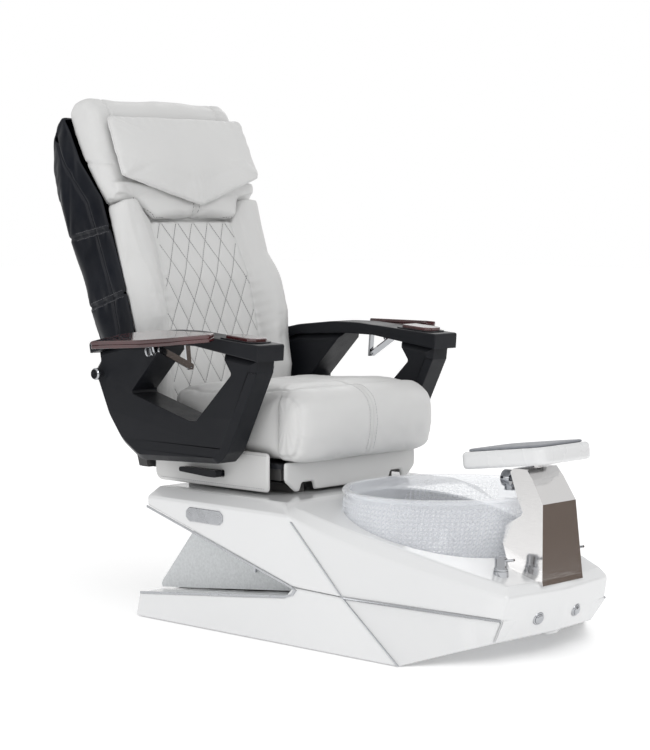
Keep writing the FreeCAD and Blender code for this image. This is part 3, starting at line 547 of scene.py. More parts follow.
def make_effects():
    """The shared effects: cloudy tone, uneven gloss, pebbled grain, brushed grain, worn edges and dust."""
    effects = {}
    tree, given, out = shader_group(
        "Cloudy tone", [("Vector", "Vector", None), ("Scale", "Float", 6.0), ("Colour", "Color", (1, 1, 1, 1)),
                        ("Shade", "Color", (0, 0, 0, 1))], [("Color", "Color")])
    cloud = noise_node(tree, given, "Scale", 4)
    factor = ranged(tree, cloud.outputs["Fac"], 0.3, 0.7, 0.0, 1.0)
    tree.links.new(colour_mix(tree, factor, given.outputs["Colour"], given.outputs["Shade"]), out.inputs["Color"])
    effects["tone"] = tree

    tree, given, out = shader_group(
        "Uneven gloss", [("Vector", "Vector", None), ("Scale", "Float", 14.0), ("Smooth", "Float", 0.2),
                         ("Rough", "Float", 0.3)], [("Roughness", "Float")])
    cloud = noise_node(tree, given, "Scale", 5)
    tree.links.new(ranged(tree, cloud.outputs["Fac"], 0.32, 0.68, given.outputs["Smooth"], given.outputs["Rough"]),
                   out.inputs["Roughness"])
    effects["gloss"] = tree

    tree, given, out = shader_group(
        "Pebbled grain", [("Vector", "Vector", None), ("Scale", "Float", 400.0), ("Creases", "Float", 0.4)],
        [("Height", "Float")])
    pebble = tree.nodes.new("ShaderNodeTexVoronoi")
    pebble.feature = "SMOOTH_F1"
    tree.links.new(given.outputs["Vector"], pebble.inputs["Vector"])
    tree.links.new(given.outputs["Scale"], pebble.inputs["Scale"])
    cloud = noise_node(tree, given, "Scale", 3, (0.11, 0.11, 0.11))
    crease = tree.nodes.new("ShaderNodeMath")
    crease.operation = "MULTIPLY"
    tree.links.new(cloud.outputs["Fac"], crease.inputs[0])
    tree.links.new(given.outputs["Creases"], crease.inputs[1])
    total = tree.nodes.new("ShaderNodeMath")
    total.operation = "SUBTRACT"
    tree.links.new(crease.outputs[0], total.inputs[0])
    tree.links.new(pebble.outputs["Distance"], total.inputs[1])
    tree.links.new(total.outputs[0], out.inputs["Height"])
    effects["grain"] = tree

    tree, given, out = shader_group(
        "Brushed grain", [("Vector", "Vector", None), ("Scale", "Float", 30.0), ("Smooth", "Float", 0.15),
                          ("Rough", "Float", 0.3)], [("Roughness", "Float"), ("Height", "Float")])
    cloud = noise_node(tree, given, "Scale", 2, (1.0, 1.0, 34.0))
    tree.links.new(cloud.outputs["Fac"], out.inputs["Height"])
    tree.links.new(ranged(tree, cloud.outputs["Fac"], 0.3, 0.7, given.outputs["Smooth"], given.outputs["Rough"]),
                   out.inputs["Roughness"])
    effects["brushed"] = tree

    tree, given, out = shader_group(
        "Worn edges", [("Colour", "Color", (1, 1, 1, 1)), ("Worn", "Color", (1, 1, 1, 1)),
                       ("Amount", "Float", 0.3)], [("Color", "Color")])
    relief = tree.nodes.new("ShaderNodeNewGeometry")
    mask = ranged(tree, relief.outputs["Pointiness"], 0.52, 0.60, 0.0, given.outputs["Amount"])
    tree.links.new(colour_mix(tree, mask, given.outputs["Colour"], given.outputs["Worn"]), out.inputs["Color"])
    effects["wear"] = tree

    tree, given, out = shader_group(
        "Settled dust", [("Vector", "Vector", None), ("Colour", "Color", (1, 1, 1, 1)),
                         ("Dust", "Color", (0.6, 0.6, 0.58, 1)), ("Amount", "Float", 0.1),
                         ("Scale", "Float", 9.0)], [("Color", "Color")])
    relief = tree.nodes.new("ShaderNodeNewGeometry")
    parts = tree.nodes.new("ShaderNodeSeparateXYZ")
    tree.links.new(relief.outputs["Normal"], parts.inputs[0])
    facing = ranged(tree, parts.outputs["Z"], 0.2, 1.0, 0.0, given.outputs["Amount"])
    cloud = noise_node(tree, given, "Scale", 6)
    patchy = tree.nodes.new("ShaderNodeMath")
    patchy.operation = "MULTIPLY"
    tree.links.new(facing, patchy.inputs[0])
    tree.links.new(cloud.outputs["Fac"], patchy.inputs[1])
    tree.links.new(colour_mix(tree, patchy.outputs[0], given.outputs["Colour"], given.outputs["Dust"]),
                   out.inputs["Color"])
    effects["dust"] = tree
    return effects


def placed_group(tree, effect, vector=None, **values):
    """One shared effect in a material, with its own values."""
    node = tree.nodes.new("ShaderNodeGroup")
    node.node_tree = effect
    if vector is not None and "Vector" in node.inputs:
        tree.links.new(vector, node.inputs["Vector"])
    for label, value in values.items():
        feed(tree, value, node.inputs[label])
    return node


def shaded(colour, amount):
    """A colour made darker, or lighter for a negative amount, with full alpha."""
    return tuple(min(1.0, c * (1 - amount)) for c in colour[:3]) + (1.0,)


def finish_of(effects, name, colour, smooth, rough, drift=0.05, drift_scale=6.0, gloss_scale=14.0, grain=None,
              bump=0.1, metallic=0.0, coat=0.0, coat_rough=0.05, dust=0.05, wear=0.0, worn=(0.5, 0.5, 0.5, 1),
              sheen=0.0, brushed=False, specular=0.5):
    """One opaque finish; grain is (size, creases) of its pebbles."""
    material = bpy.data.materials.new(name)
    material.use_nodes = True
    tree = material.node_tree
    shader = tree.nodes["Principled BSDF"]
    where = tree.nodes.new("ShaderNodeTexCoord").outputs["Object"]
    shader.inputs["Metallic"].default_value = metallic
    shader.inputs["Coat Weight"].default_value = coat
    shader.inputs["Coat Roughness"].default_value = coat_rough
    shader.inputs["Sheen Weight"].default_value = sheen
    shader.inputs["Specular IOR Level"].default_value = specular
    tone = placed_group(tree, effects["tone"], where, Scale=drift_scale, Colour=tuple(colour[:3]) + (1.0,),
                        Shade=shaded(colour, drift)).outputs["Color"]
    if wear:
        tone = placed_group(tree, effects["wear"], Colour=tone, Worn=worn, Amount=wear).outputs["Color"]
    if dust:
        tone = placed_group(tree, effects["dust"], where, Colour=tone, Amount=dust).outputs["Color"]
    tree.links.new(tone, shader.inputs["Base Color"])
    if brushed:
        lines = placed_group(tree, effects["brushed"], where, Smooth=smooth, Rough=rough)
        tree.links.new(lines.outputs["Roughness"], shader.inputs["Roughness"])
        height = lines.outputs["Height"]
    else:
        gloss = placed_group(tree, effects["gloss"], where, Scale=gloss_scale, Smooth=smooth, Rough=rough)
        tree.links.new(gloss.outputs["Roughness"], shader.inputs["Roughness"])
        height = None
    if grain:
        height = placed_group(tree, effects["grain"], where, Scale=grain[0], Creases=grain[1]).outputs["Height"]
    if height is not None:
        relief = tree.nodes.new("ShaderNodeBump")
        relief.inputs["Strength"].default_value = bump
        relief.inputs["Distance"].default_value = 0.001
        tree.links.new(height, relief.inputs["Height"])
        tree.links.new(relief.outputs["Normal"], shader.inputs["Normal"])
    return material


def clear_acrylic():
    """Cast clear acrylic, drawn as a pale see-through skin so that light still reaches inside the bowl, with a
    faint painted glow.
    """
    material = bpy.data.materials.new("Clear acrylic")
    material.use_nodes = True
    tree = material.node_tree
    shader = tree.nodes["Principled BSDF"]
    shader.inputs["Base Color"].default_value = (0.88, 0.90, 0.94, 1)
    shader.inputs["Specular IOR Level"].default_value = 1.0
    shader.inputs["Coat Weight"].default_value = 1.0
    shader.inputs["Coat Roughness"].default_value = 0.02
    # Painted glow: a faint white emission lightens the bowl's walls, which are shaded inside the base.
    shader.inputs["Emission Color"].default_value = (0.93, 0.96, 1.0, 1)
    shader.inputs["Emission Strength"].default_value = 0.08
    where = tree.nodes.new("ShaderNodeTexCoord").outputs["Object"]
    gloss = placed_group(tree, FINISH["effects"]["gloss"], where, Scale=40.0, Smooth=0.02, Rough=0.09)
    tree.links.new(gloss.outputs["Roughness"], shader.inputs["Roughness"])
    facing = tree.nodes.new("ShaderNodeLayerWeight")
    facing.inputs["Blend"].default_value = 0.35
    tree.links.new(ranged(tree, facing.outputs["Facing"], 0.0, 1.0, 0.26, 0.72), shader.inputs["Alpha"])
    return material


FINISH = {}


def make_finishes():
    """Every finish of the chair, by the record's slot name."""
    look = bpy.context.scene.chair_finish
    fx = FINISH["effects"] = make_effects()
    leather, vinyl, gel = tuple(look.leather), tuple(look.vinyl), tuple(look.gelcoat)
    FINISH["white_leather"] = finish_of(fx, "White leather", leather, 0.42, 0.54, 0.055, 5, 30, (620, 0.7), 0.22,
                                        dust=0.03, sheen=0.05, specular=0.42)
    FINISH["black_vinyl"] = finish_of(fx, "Black vinyl", vinyl, 0.30, 0.42, 0.3, 7, 25, (560, 0.6), 0.20,
                                      wear=0.10, worn=(0.06, 0.06, 0.07, 1), dust=0.01, specular=0.22)
    FINISH["black_plastic"] = finish_of(fx, "Black moulded plastic", tuple(look.plastic), 0.36, 0.48, 0.12, 6, 20,
                                        (1500, 0.2), 0.10, dust=0.02, wear=0.12, worn=(0.05, 0.05, 0.055, 1),
                                        specular=0.20)
    FINISH["burgundy_gloss"] = finish_of(fx, "Burgundy lacquer", tuple(look.lacquer), 0.12, 0.20, 0.55, 12, 10,
                                         coat=1.0, coat_rough=0.03, dust=0.02)
    FINISH["white_gelcoat"] = finish_of(fx, "White gelcoat", gel, 0.12, 0.19, 0.02, 3, 6, (16, 1.0), 0.015,
                                        coat=0.6, coat_rough=0.04, dust=0.03)
    FINISH["grey_recess"] = finish_of(fx, "Speckled recess", (0.66, 0.68, 0.69), 0.45, 0.60, 0.16, 160, 30,
                                      (420, 0.4), 0.25, dust=0.05)
    FINISH["white_plastic"] = finish_of(fx, "White moulded plastic", (0.72, 0.725, 0.73), 0.22, 0.32, 0.02, 4, 12,
                                        (900, 0.2), 0.05, coat=0.2, coat_rough=0.1, dust=0.02)
    FINISH["grey_pad"] = finish_of(fx, "Grey foam pad", (0.25, 0.26, 0.285), 0.48, 0.60, 0.08, 8, 30, (700, 0.5),
                                   0.3, dust=0.06)
    FINISH["trim_chrome"] = finish_of(fx, "Satin trim", (0.50, 0.51, 0.53), 0.20, 0.30, 0.1, 10, 40, metallic=1.0,
                                      dust=0.03)
    FINISH["chrome"] = finish_of(fx, "Chrome", (0.46, 0.47, 0.49), 0.04, 0.10, 0.04, 10, 30, metallic=1.0,
                                 dust=0.02)
    FINISH["polished_steel"] = finish_of(fx, "Polished steel", tuple(look.steel), 0.07, 0.15, 0.03, 4, metallic=1.0,
                                         brushed=True, bump=0.02, dust=0.01)
    FINISH["frame_steel"] = finish_of(fx, "Painted frame steel", (0.035, 0.036, 0.038), 0.35, 0.5, 0.2, 9, 20,
                                      (500, 0.4), 0.15, wear=0.35, worn=(0.2, 0.19, 0.18, 1), dust=0.12)
    FINISH["rubber"] = finish_of(fx, "Foot rubber", (0.02, 0.02, 0.02), 0.6, 0.75, 0.2, 12, 20, (300, 0.4), 0.2,
                                 dust=0.15)
    FINISH["thread"] = finish_of(fx, "Pale thread", (0.42, 0.42, 0.43), 0.6, 0.7, 0.15, 200, 60, dust=0)
    # Quilting thread drawn dark grey: painted shade of the quilting's stitch holes and grooves on top of the
    # thread's own colour.
    FINISH["grey_thread"] = finish_of(fx, "Quilt thread with painted shade", (0.20, 0.20, 0.21), 0.6, 0.7, 0.15, 200, 60, dust=0)
    FINISH["dark_thread"] = finish_of(fx, "Dark thread", (0.09, 0.09, 0.10), 0.6, 0.7, 0.15, 200, 60, dust=0)
    FINISH["clear_acrylic"] = clear_acrylic()


def eased_node(width, *names):
    """Round the sharp edges of rigid CAD nodes as they are drawn."""
    for name in names:
        weld = NODES[name].modifiers.new("Weld", "WELD")
        weld.merge_threshold = 1e-5
        round_off = NODES[name].modifiers.new("Ease", "BEVEL")
        round_off.width, round_off.segments = width * MM, 2
        round_off.limit_method, round_off.angle_limit = "ANGLE", math.radians(35)
        round_off.use_clamp_overlap = True


class SPA_OT_finishes(bpy.types.Operator):
    """Make every finish and give the rigid CAD nodes theirs"""
    bl_idname = "spa.finishes"
    bl_label = "Finishes"

    def execute(self, context):
        make_finishes()
        for part in frame["record"]["subparts"]:
            dressed(FINISH[part["material_slot"]], part["node"])
        return {"FINISHED"}


# ------------------------------------------------------------------ base

def curve_through(points, steps):
    """Points on a smooth curve through the given ones."""
    points = [Vector(p) for p in points]
    padded = [points[0] * 2 - points[1]] + points + [points[-1] * 2 - points[-2]]
    drawn = []
    for a, b, c, d in zip(padded, padded[1:], padded[2:], padded[3:]):
        for k in range(steps):
            t = k / steps
            drawn.append(0.5 * ((2 * b) + (c - a) * t + (2 * a - 5 * b + 4 * c - d) * t * t
                                + (3 * b - a - 3 * c + d) * t ** 3))
    drawn.append(points[-1])
    return drawn


def moulding(name, columns, caps, wall, ease):
    """An open moulding from columns of points of its right half, mirrored, capped and given a wall."""
    rows = len(columns[0])
    verts, faces = [], []
    for side in (1, -1):
        start = len(verts)
        for column in columns:
            verts += [Vector((p[0] * side, p[1], p[2])) * MM for p in column]
        for c in range(len(columns) - 1):
            for r in range(rows - 1):
                here, there = start + c * rows + r, start + (c + 1) * rows + r
                faces.append((here, there, there + 1, here + 1))
        for cap in caps:
            first = len(verts)
            verts += [Vector((p[0] * side, p[1], p[2])) * MM for p in cap]
            faces.append(tuple(range(first, first + len(cap))))
    piece = mesh_object(name, verts, faces)
    work = bmesh.new()
    work.from_mesh(piece.data)
    top = max(work.faces, key=lambda f: f.calc_center_median().z * (1 if abs(f.normal.z) > 0.5 else 0))
    if top.normal.z < 0:
        bmesh.ops.reverse_faces(work, faces=work.faces)
    work.to_mesh(piece.data)
    work.free()
    soft = piece.modifiers.new("Ease", "BEVEL")
    soft.width, soft.segments, soft.limit_method = ease * MM, 4, "ANGLE"
    soft.angle_limit, soft.use_clamp_overlap = math.radians(17), False
    thick = piece.modifiers.new("Wall", "SOLIDIFY")
    thick.thickness, thick.offset = wall * MM, -1
    return settle(piece, 30)


def upper_columns():
    """Columns of the upper moulding's right half, from the rear to the nose.

    Each runs inner, tip, chin, crease, deck and middle.
    """
    crease = curve_through([(372, 5, 320), (341, -107, 277), (297, -250, 233), (246, -404, 193),
                            (200, -539, 163)], 6)
    deck = curve_through([(330, 60, 344), (308, -107, 299), (268, -250, 261), (222, -404, 219),
                          (183, -525, 187)], 6)
    columns = []

    def add(tip, low, high, deck_edge, inner=86):
        columns.append([(max(tip[0] - inner, 0), tip[1], tip[2]), tip, low, high, deck_edge,
                        (0, deck_edge[1], deck_edge[2])])

    for t in (0, 0.33, 0.66, 1):
        tip = (372, 512 - 522 * t, 297 - 151 * t)
        add(tip, tip, (372, 512 - 507 * t, 322 - 2 * t), (330, 512 - 452 * t, 344))
    for k, (high, edge) in enumerate(zip(crease, deck)):
        t = k / (len(crease) - 1)
        tip = (372 - 165 * t, -172 - 353 * t, 142 - 34 * t)
        add(tip, tip, tuple(high), tuple(edge), 60)
    for k in range(0, 9):
        t = k / 8
        add((194 * (1 - t), -488 - 42 * t, 46 + 10 * t), (207 * (1 - t), -525 - 20 * t, 108),
            (200 * (1 - t), -539 - 20 * t, 163 - 2 * t), (183 * (1 - t), -525 - 20 * t, 187 - 6 * t), 30)
    return columns


def bowl_section(level, wall=0.0):
    """Half width, half length and centre of the foot bowl at a height, less the wall."""
    lows = (111, 262, 372)
    out = []
    for values in ((178, 254, 262), (160, 238, 242), (-165, -172, -192)):
        total = 0.0
        for i, value in enumerate(values):
            weight = 1.0
            for j, low in enumerate(lows):
                if j != i:
                    weight *= (level - low) / (lows[i] - low)
            total += value * weight
        out.append(total)
    return out[0] - wall, out[1] - wall, out[2]


def well_tool(clearance):
    """The solid that cuts the bowl's well, with room round the bowl."""
    rings = [(level, *bowl_section(level, -clearance)) for level in range(100, 391, 10)]
    verts, faces = [], []
    turns = 96
    for level, wide, long, centre in rings:
        for k in range(turns):
            angle = 2 * math.pi * k / turns
            verts.append(Vector((wide * math.cos(angle), centre + long * math.sin(angle), level)) * MM)
    faces = grid_faces(len(rings), turns, closed=True)
    faces += [tuple(range(turns)), tuple(range((len(rings) - 1) * turns, len(rings) * turns))]
    return mesh_object("Well", verts, faces)


class SPA_OT_base(bpy.types.Operator):
    """Make the upper and lower mouldings of the base with eased edges"""
    bl_idname = "spa.base"
    bl_label = "Base mouldings"

    def execute(self, context):
        rear = [(0, 512, 297), (286, 512, 297), (372, 512, 297), (372, 512, 322), (330, 512, 344), (0, 512, 344)]
        upper = moulding("upper_moulding", upper_columns(), [rear], 5, 6)
        carved(upper, well_tool(1.5), crisp=30)
        built(upper, "base", "white_gelcoat", FINISH["white_gelcoat"], "base_shell", rigid=True)

        ledge = [(372, 545, 64), (372, 380, 81), (372, 200, 99), (372, 14, 119), (372, -10, 145), (372, -172, 141)]
        foot = [(372, 559, 3), (372, 380, 3), (372, 200, 3), (372, -10, 3), (372, -40, 3), (372, -349, 3)]
        columns = [[(285, a[1], a[2]), a, b] for a, b in zip(ledge, foot)]
        for k in range(1, 7):
            t = k / 6
            a = (372 - 165 * t, -172 - 350 * t, 141 - 34 * t)
            b = (372 - 180 * t, -349 - 137 * t, 3 + 43 * t)
            columns.append([(a[0] - 60, a[1] + 20, a[2]), a, b])
        front = [(0, -536, 107), (207, -522, 107), (192, -486, 46), (0, -500, 50)]
        rear = [(0, 545, 64), (285, 545, 64), (372, 545, 64), (372, 559, 3), (0, 559, 3)]
        lower = moulding("lower_hull", columns, [front, rear], 5, 5)
        built(lower, "base", "white_gelcoat", FINISH["white_gelcoat"], "base_skirt", rigid=True)
        eased_node(0.8, "badge_plate", "panel_latch_right", "panel_latch_left", "trim_strips")
        return {"FINISHED"}


class SPA_OT_bowl(bpy.types.Operator):
    """Cast the clear foot bowl with its knobbed outside"""
    bl_idname = "spa.bowl"
    bl_label = "Foot bowl"

    def execute(self, context):
        knobs = context.scene.chair_padding.knobs
        turns = knobs * 4
        angles = np.arange(turns) * 2 * np.pi / turns
        across = np.abs(np.cos(np.pi * np.arange(turns) / 4))
        rings = [(20.2, 20.2, -165, 111, 0), (178, 160, -165, 111, 0)]
        low, high, tall = 122, 352, 11.0
        count = int((high - low) / tall) * 4
        for k in range(count + 1):
            level = low + (high - low) * k / count
            wide, long, centre = bowl_section(level)
            rings.append((wide, long, centre, level, abs(math.cos(math.pi * (k / 4 + 0.5)))))
        for wide, long, centre, level in ((*bowl_section(360), 360), (268, 248, -192, 365), (274, 254, -192, 365.5),
                                          (275, 255, -192, 369), (272, 252, -192, 373), (258, 238, -192, 373)):
            rings.append((wide, long, centre, level, 0))
        for level in range(368, 118, -14):
            rings.append((*bowl_section(level, 6), level, 0))
        rings += [(*bowl_section(118, 8), 117, 0), (20.2, 20.2, -165, 117, 0)]
        verts = []
        for wide, long, centre, level, crest in rings:
            rise = 3.4 * np.sqrt(across * crest) if crest else np.zeros(turns)
            xs = (wide + rise) * np.cos(angles)
            ys = centre + (long + rise) * np.sin(angles)
            verts += [(x * MM, y * MM, level * MM) for x, y in zip(xs, ys)]
        faces = grid_faces(len(rings), turns, closed=True)
        last = (len(rings) - 1) * turns
        faces += [(last + k, last + (k + 1) % turns, (k + 1) % turns, k) for k in range(turns)]
        bowl = mesh_object("cast_bowl", verts, faces, 32)
        built(bowl, "base", "clear_acrylic", FINISH["clear_acrylic"], "foot_bowl")
        return {"FINISHED"}


class SPA_OT_tower(bpy.types.Operator):
    """Ease the folded tower and fittings, and mould the footrest with its soft top"""
    bl_idname = "spa.tower"
    bl_label = "Tower and footrest"

    def execute(self, context):
        eased_node(1.5, "tower_shell", "footrest_bracket")
        eased_node(0.8, "hot_knob", "cold_knob", "spray_head", "button_bezels", "start_button", "jet_button")
        pad = Matrix.Translation((0, -466, 470)) @ Matrix.Rotation(math.radians(-7.2), 4, "X")
        rim = [(-103, -98, 26), (103, -98, 26), (103, 154, 22), (-103, 154, 22)]
        shell = plate("footrest_moulding", [rim], 42, (0, 0, -16), pad, edge=10, steps=7)
        notch = plate("Notch", [[(-35, -32), (35, -32), (35, 32), (-35, 32)]], 30, (0, 0, -18), pad, edge=0.5)
        carved(shell, notch)
        remesh(shell, 0.003, 2)
        built(shell, "footrest", "white_plastic", FINISH["white_plastic"], "footrest_shell", rigid=True)
        inner = [(-89, -84, 18), (89, -84, 18), (89, 140, 14), (-89, 140, 14)]
        top = plate("footrest_cushion", [inner], 7.0, (0, 0, 25.6), pad, edge=2.6, steps=3)
        remesh(top, 0.0035, 2)
        spots = coordinates(top, pad)
        crown = np.clip(1 - (spots[:, 0] / 89) ** 4, 0, 1) * np.clip(1 - ((spots[:, 1] - 28) / 112) ** 4, 0, 1)
        shift_points(top, np.where(spots[:, 2] > 29, 1.6 * crown, 0) * MM)
        built(finer(top), "footrest", "grey_pad", FINISH["grey_pad"], "footrest_pad", fill=0.8)
        return {"FINISHED"}


# ------------------------------------------------------------------ seat

def sewn(piece, distances, width=1.0, depth=1.0):
    """Pull a cover in along seams at the given distances, in millimetres."""
    padding = bpy.context.scene.chair_padding
    reach, drop = padding.seam_width * width / MM, padding.seam_depth * depth
    amount = np.zeros(len(piece.data.vertices))
    for distance in distances:
        amount = np.minimum(amount, hollow(distance, reach, drop))
    shift_points(piece, amount)


def gathers(along, distance, pitch, reach, height, seed=0):
    """Small puckers that fade away from a seam; all in millimetres, result in metres."""
    wander = np.sin(along / (pitch * 3.1) + seed) * 1.3
    wave = np.sin(2 * np.pi * along / pitch + wander) * (0.55 + 0.45 * np.sin(along / (pitch * 2.3) + 2 * seed))
    return wave * np.exp(-np.abs(distance) / reach) * height * MM


class SPA_OT_seat(bpy.types.Operator):
    """Upholster the seat: pad, front roll, skirts and their stitching"""
    bl_idname = "spa.seat"
    bl_label = "Seat upholstery"

    def execute(self, context):
        voxel = context.scene.chair_padding.voxel
        leather = FINISH["white_leather"]

        pad = plate("seat_pad", [[(140, 432), (562, 432, 18), (562, 592, 30), (300, 602, 200), (140, 610)]],
                    508, (0, 0, -254), SIDE_ON, edge=34, steps=6)
        remesh(pad, voxel)
        spots = coordinates(pad)
        held = (spots[:, 2] < 0.436) | (spots[:, 1] < 0.15)
        stuffed(pad, held.astype(float), 0.014)
        finer(pad)
        spots = coordinates(pad) / MM
        side = np.abs(np.abs(spots[:, 0]) - 222)
        sewn(pad, [np.where(spots[:, 2] > 560, side, 99), np.abs(spots[:, 0] - 5) + (spots[:, 2] < 540) * 99])
        spots = coordinates(pad) / MM
        folds = gathers(spots[:, 1], side, 23, 20, 1.2, 1) * (spots[:, 2] > 560)
        shift_points(pad, folds + soft_noise(spots, 150) * 1.6 * MM)
        built(pad, "seat", "white_leather", leather, "seat_cushion", fill=0.75)

        roll = plate("seat_roll", [[(160, 428, 10), (156, 610, 20), (112, 612, 44), (60, 580, 46), (54, 498, 60),
                                    (74, 428, 34)]], 530, (0, 0, -265), SIDE_ON, edge=30, steps=6)
        remesh(roll, voxel)
        spots = coordinates(roll) / MM
        draw_in = 1 - 0.20 * np.clip((np.abs(spots[:, 0]) - 190) / 75, 0, 1) ** 2
        spots[:, 1] = 150 + (spots[:, 1] - 150) * draw_in
        spots[:, 2] = 515 + (spots[:, 2] - 515) * (0.4 + 0.6 * draw_in)
        place_points(roll, spots)
        spots = coordinates(roll) / MM
        held = np.clip((spots[:, 1] - 146) / 8, 0, 1)
        held = np.maximum(held, 0.9 * np.exp(-((np.abs(spots[:, 0]) - 253) / 5) ** 2))
        held = np.maximum(held, np.exp(-(spots[:, 0] / 5) ** 2) * 0.95)
        stuffed(roll, held, 0.013)
        finer(roll)
        spots = coordinates(roll) / MM
        edge_gap = np.abs(np.abs(spots[:, 0]) - 253)
        middle = np.minimum(np.abs(spots[:, 0] - 6), np.abs(spots[:, 0] + 6))
        turn = np.arctan2(spots[:, 2] - 530, 110 - spots[:, 1]) * 85
        sewn(roll, [edge_gap, middle])
        spots = coordinates(roll) / MM
        puckers = gathers(turn, edge_gap, 27, 20, 1.0, 2) + gathers(turn, middle, 30, 14, 0.6, 5)
        crease = gathers(spots[:, 0], np.abs(spots[:, 2] - 470 - 0.12 * np.abs(spots[:, 0])), 60, 20, 0.9, 3)
        shift_points(roll, puckers + crease + soft_noise(spots, 110, 3) * 1.8 * MM)
        built(roll, "seat", "white_leather", leather, fill=0.8)

        rows = []
        for x in (-12, 12):
            rows.append([(x, 150, 640), (x, 100, 640), (x, 52, 600), (x, 40, 520), (x, 60, 440)])
        sewing = stitches("seat_stitches", roll, rows, FLAT, None)
        built(sewing, "seat", "white_leather", FINISH["thread"])

        apron = [(-250, 380, 16), (-214, 351, 18), (-197, 351, 4), (-192, 373, 6), (-148, 373, 6), (-143, 351, 4)]
        apron += [(-x, y, r) for x, y, r in apron[::-1]] + [(250, 428, 6), (-250, 428, 6)]
        front = plate("front_cover", [apron], 12, (0, 0, -140), FACE_ON, edge=5, steps=4)
        built(self.crowned(front, 1, -1, (0, 390), (250, 40), 4), "seat", "white_leather", leather, "front_skirt",
              fill=0.3)
        flank = [(165, 350, 12), (585, 350, 24), (590, 452, 18), (165, 452, 12)]
        right = plate("side_cover_right", [flank], 10, (0, 0, -276), SIDE_ON, edge=4.2, steps=4)
        slit = plate("Slit", [[(318, 379, 4), (342, 379, 4), (342, 397, 4), (318, 397, 4)]], 24, (0, 0, -283),
                     SIDE_ON, edge=0.5)
        self.crowned(right, 0, -1, (375, 400), (215, 52), 4)
        left = mirror_of(right, "side_cover_left")
        carved(right, slit)
        built(right, "seat", "white_leather", leather, "side_skirts", fill=0.3)
        built(left, "seat", "white_leather", leather, fill=0.3)
        for cover, sign in ((right, -1), (left, 1)):
            hem = [(sign * 276, 172, 444), (sign * 276, 578, 444)]
            low = [(sign * 276, 178, 360), (sign * 276, 566, 360)]
            built(stitches(cover.name + "_hem", cover, [hem, low], FLAT, Vector((-sign, 0, 0))), "seat",
                  "white_leather", FINISH["thread"])
        eased_node(1.2, "release_lever", "seat_frame", "arm_brackets")
        return {"FINISHED"}

    @staticmethod
    def crowned(cover, axis, sign, centre, half, height):
        """Swell a flat cover outwards between its hems."""
        remesh(cover, 0.004, 2)
        spots = coordinates(cover) / MM
        plane = [k for k in range(3) if k != axis]
        face = normals(cover)[:, axis] * sign
        dome = np.ones(len(spots))
        for k, middle, reach in zip(plane, centre, half):
            dome *= np.clip(1 - np.abs((spots[:, k] - middle) / reach) ** 3, 0, 1)
        ripple = soft_noise(spots, 120, 2) * 0.8 * MM
        shift_points(cover, np.where(face > 0.2, (dome * height * MM + ripple * dome) * face, 0))
        return finer(cover)


# ------------------------------------------------------------------ back

PANEL_SEAM = [(150, 582), (153, 520), (164, 400), (176, 250), (186, 60), (188, 10)]
YOKE_SEAM = [(-272, 654), (-200, 640), (-150, 579), (150, 579), (200, 640), (272, 654)]
DIAMOND_WIDE, DIAMOND_TALL = 60.0, 114.0
QUILT_TOP = 579
PAD_FACE = -44  # depth in front of which the back pad's points belong to its face


def panel_half_width(up):
    """Half width of the quilted panel at heights along the back."""
    return np.interp(-up, [-p[1] for p in PANEL_SEAM], [p[0] for p in PANEL_SEAM])


def yoke_height(across):
    """Height of the yoke's lower seam at distances from the middle."""
    return np.interp(np.abs(across), [150, 200, 272], [579, 640, 654])


def quilt_distance(spots):
    """Distance to the nearest line of the diamond quilting; spots are (across, up) in millimetres."""
    slant = 1 / math.hypot(1 / DIAMOND_WIDE, 1 / DIAMOND_TALL)
    best = np.full(len(spots), 1e9)
    for sign in (1, -1):
        phase = spots[:, 0] / DIAMOND_WIDE + sign * (spots[:, 1] - QUILT_TOP) / DIAMOND_TALL
        best = np.minimum(best, np.abs(phase - np.round(phase)) * slant)
    return best


def quilt_lines(low, high):
    """The quilting's stitch lines inside the centre panel, clipped to it."""
    lines = []
    for sign in (1, -1):
        for n in range(-14, 15):
            line = []
            for s in np.arange(low, high, 6.0):
                x = (n - sign * (s - QUILT_TOP) / DIAMOND_TALL) * DIAMOND_WIDE
                edge = panel_half_width(s) - 6
                if abs(x) < edge:
                    line.append((x, -60, s))
            if len(line) > 3:
                lines.append(line)
    return lines


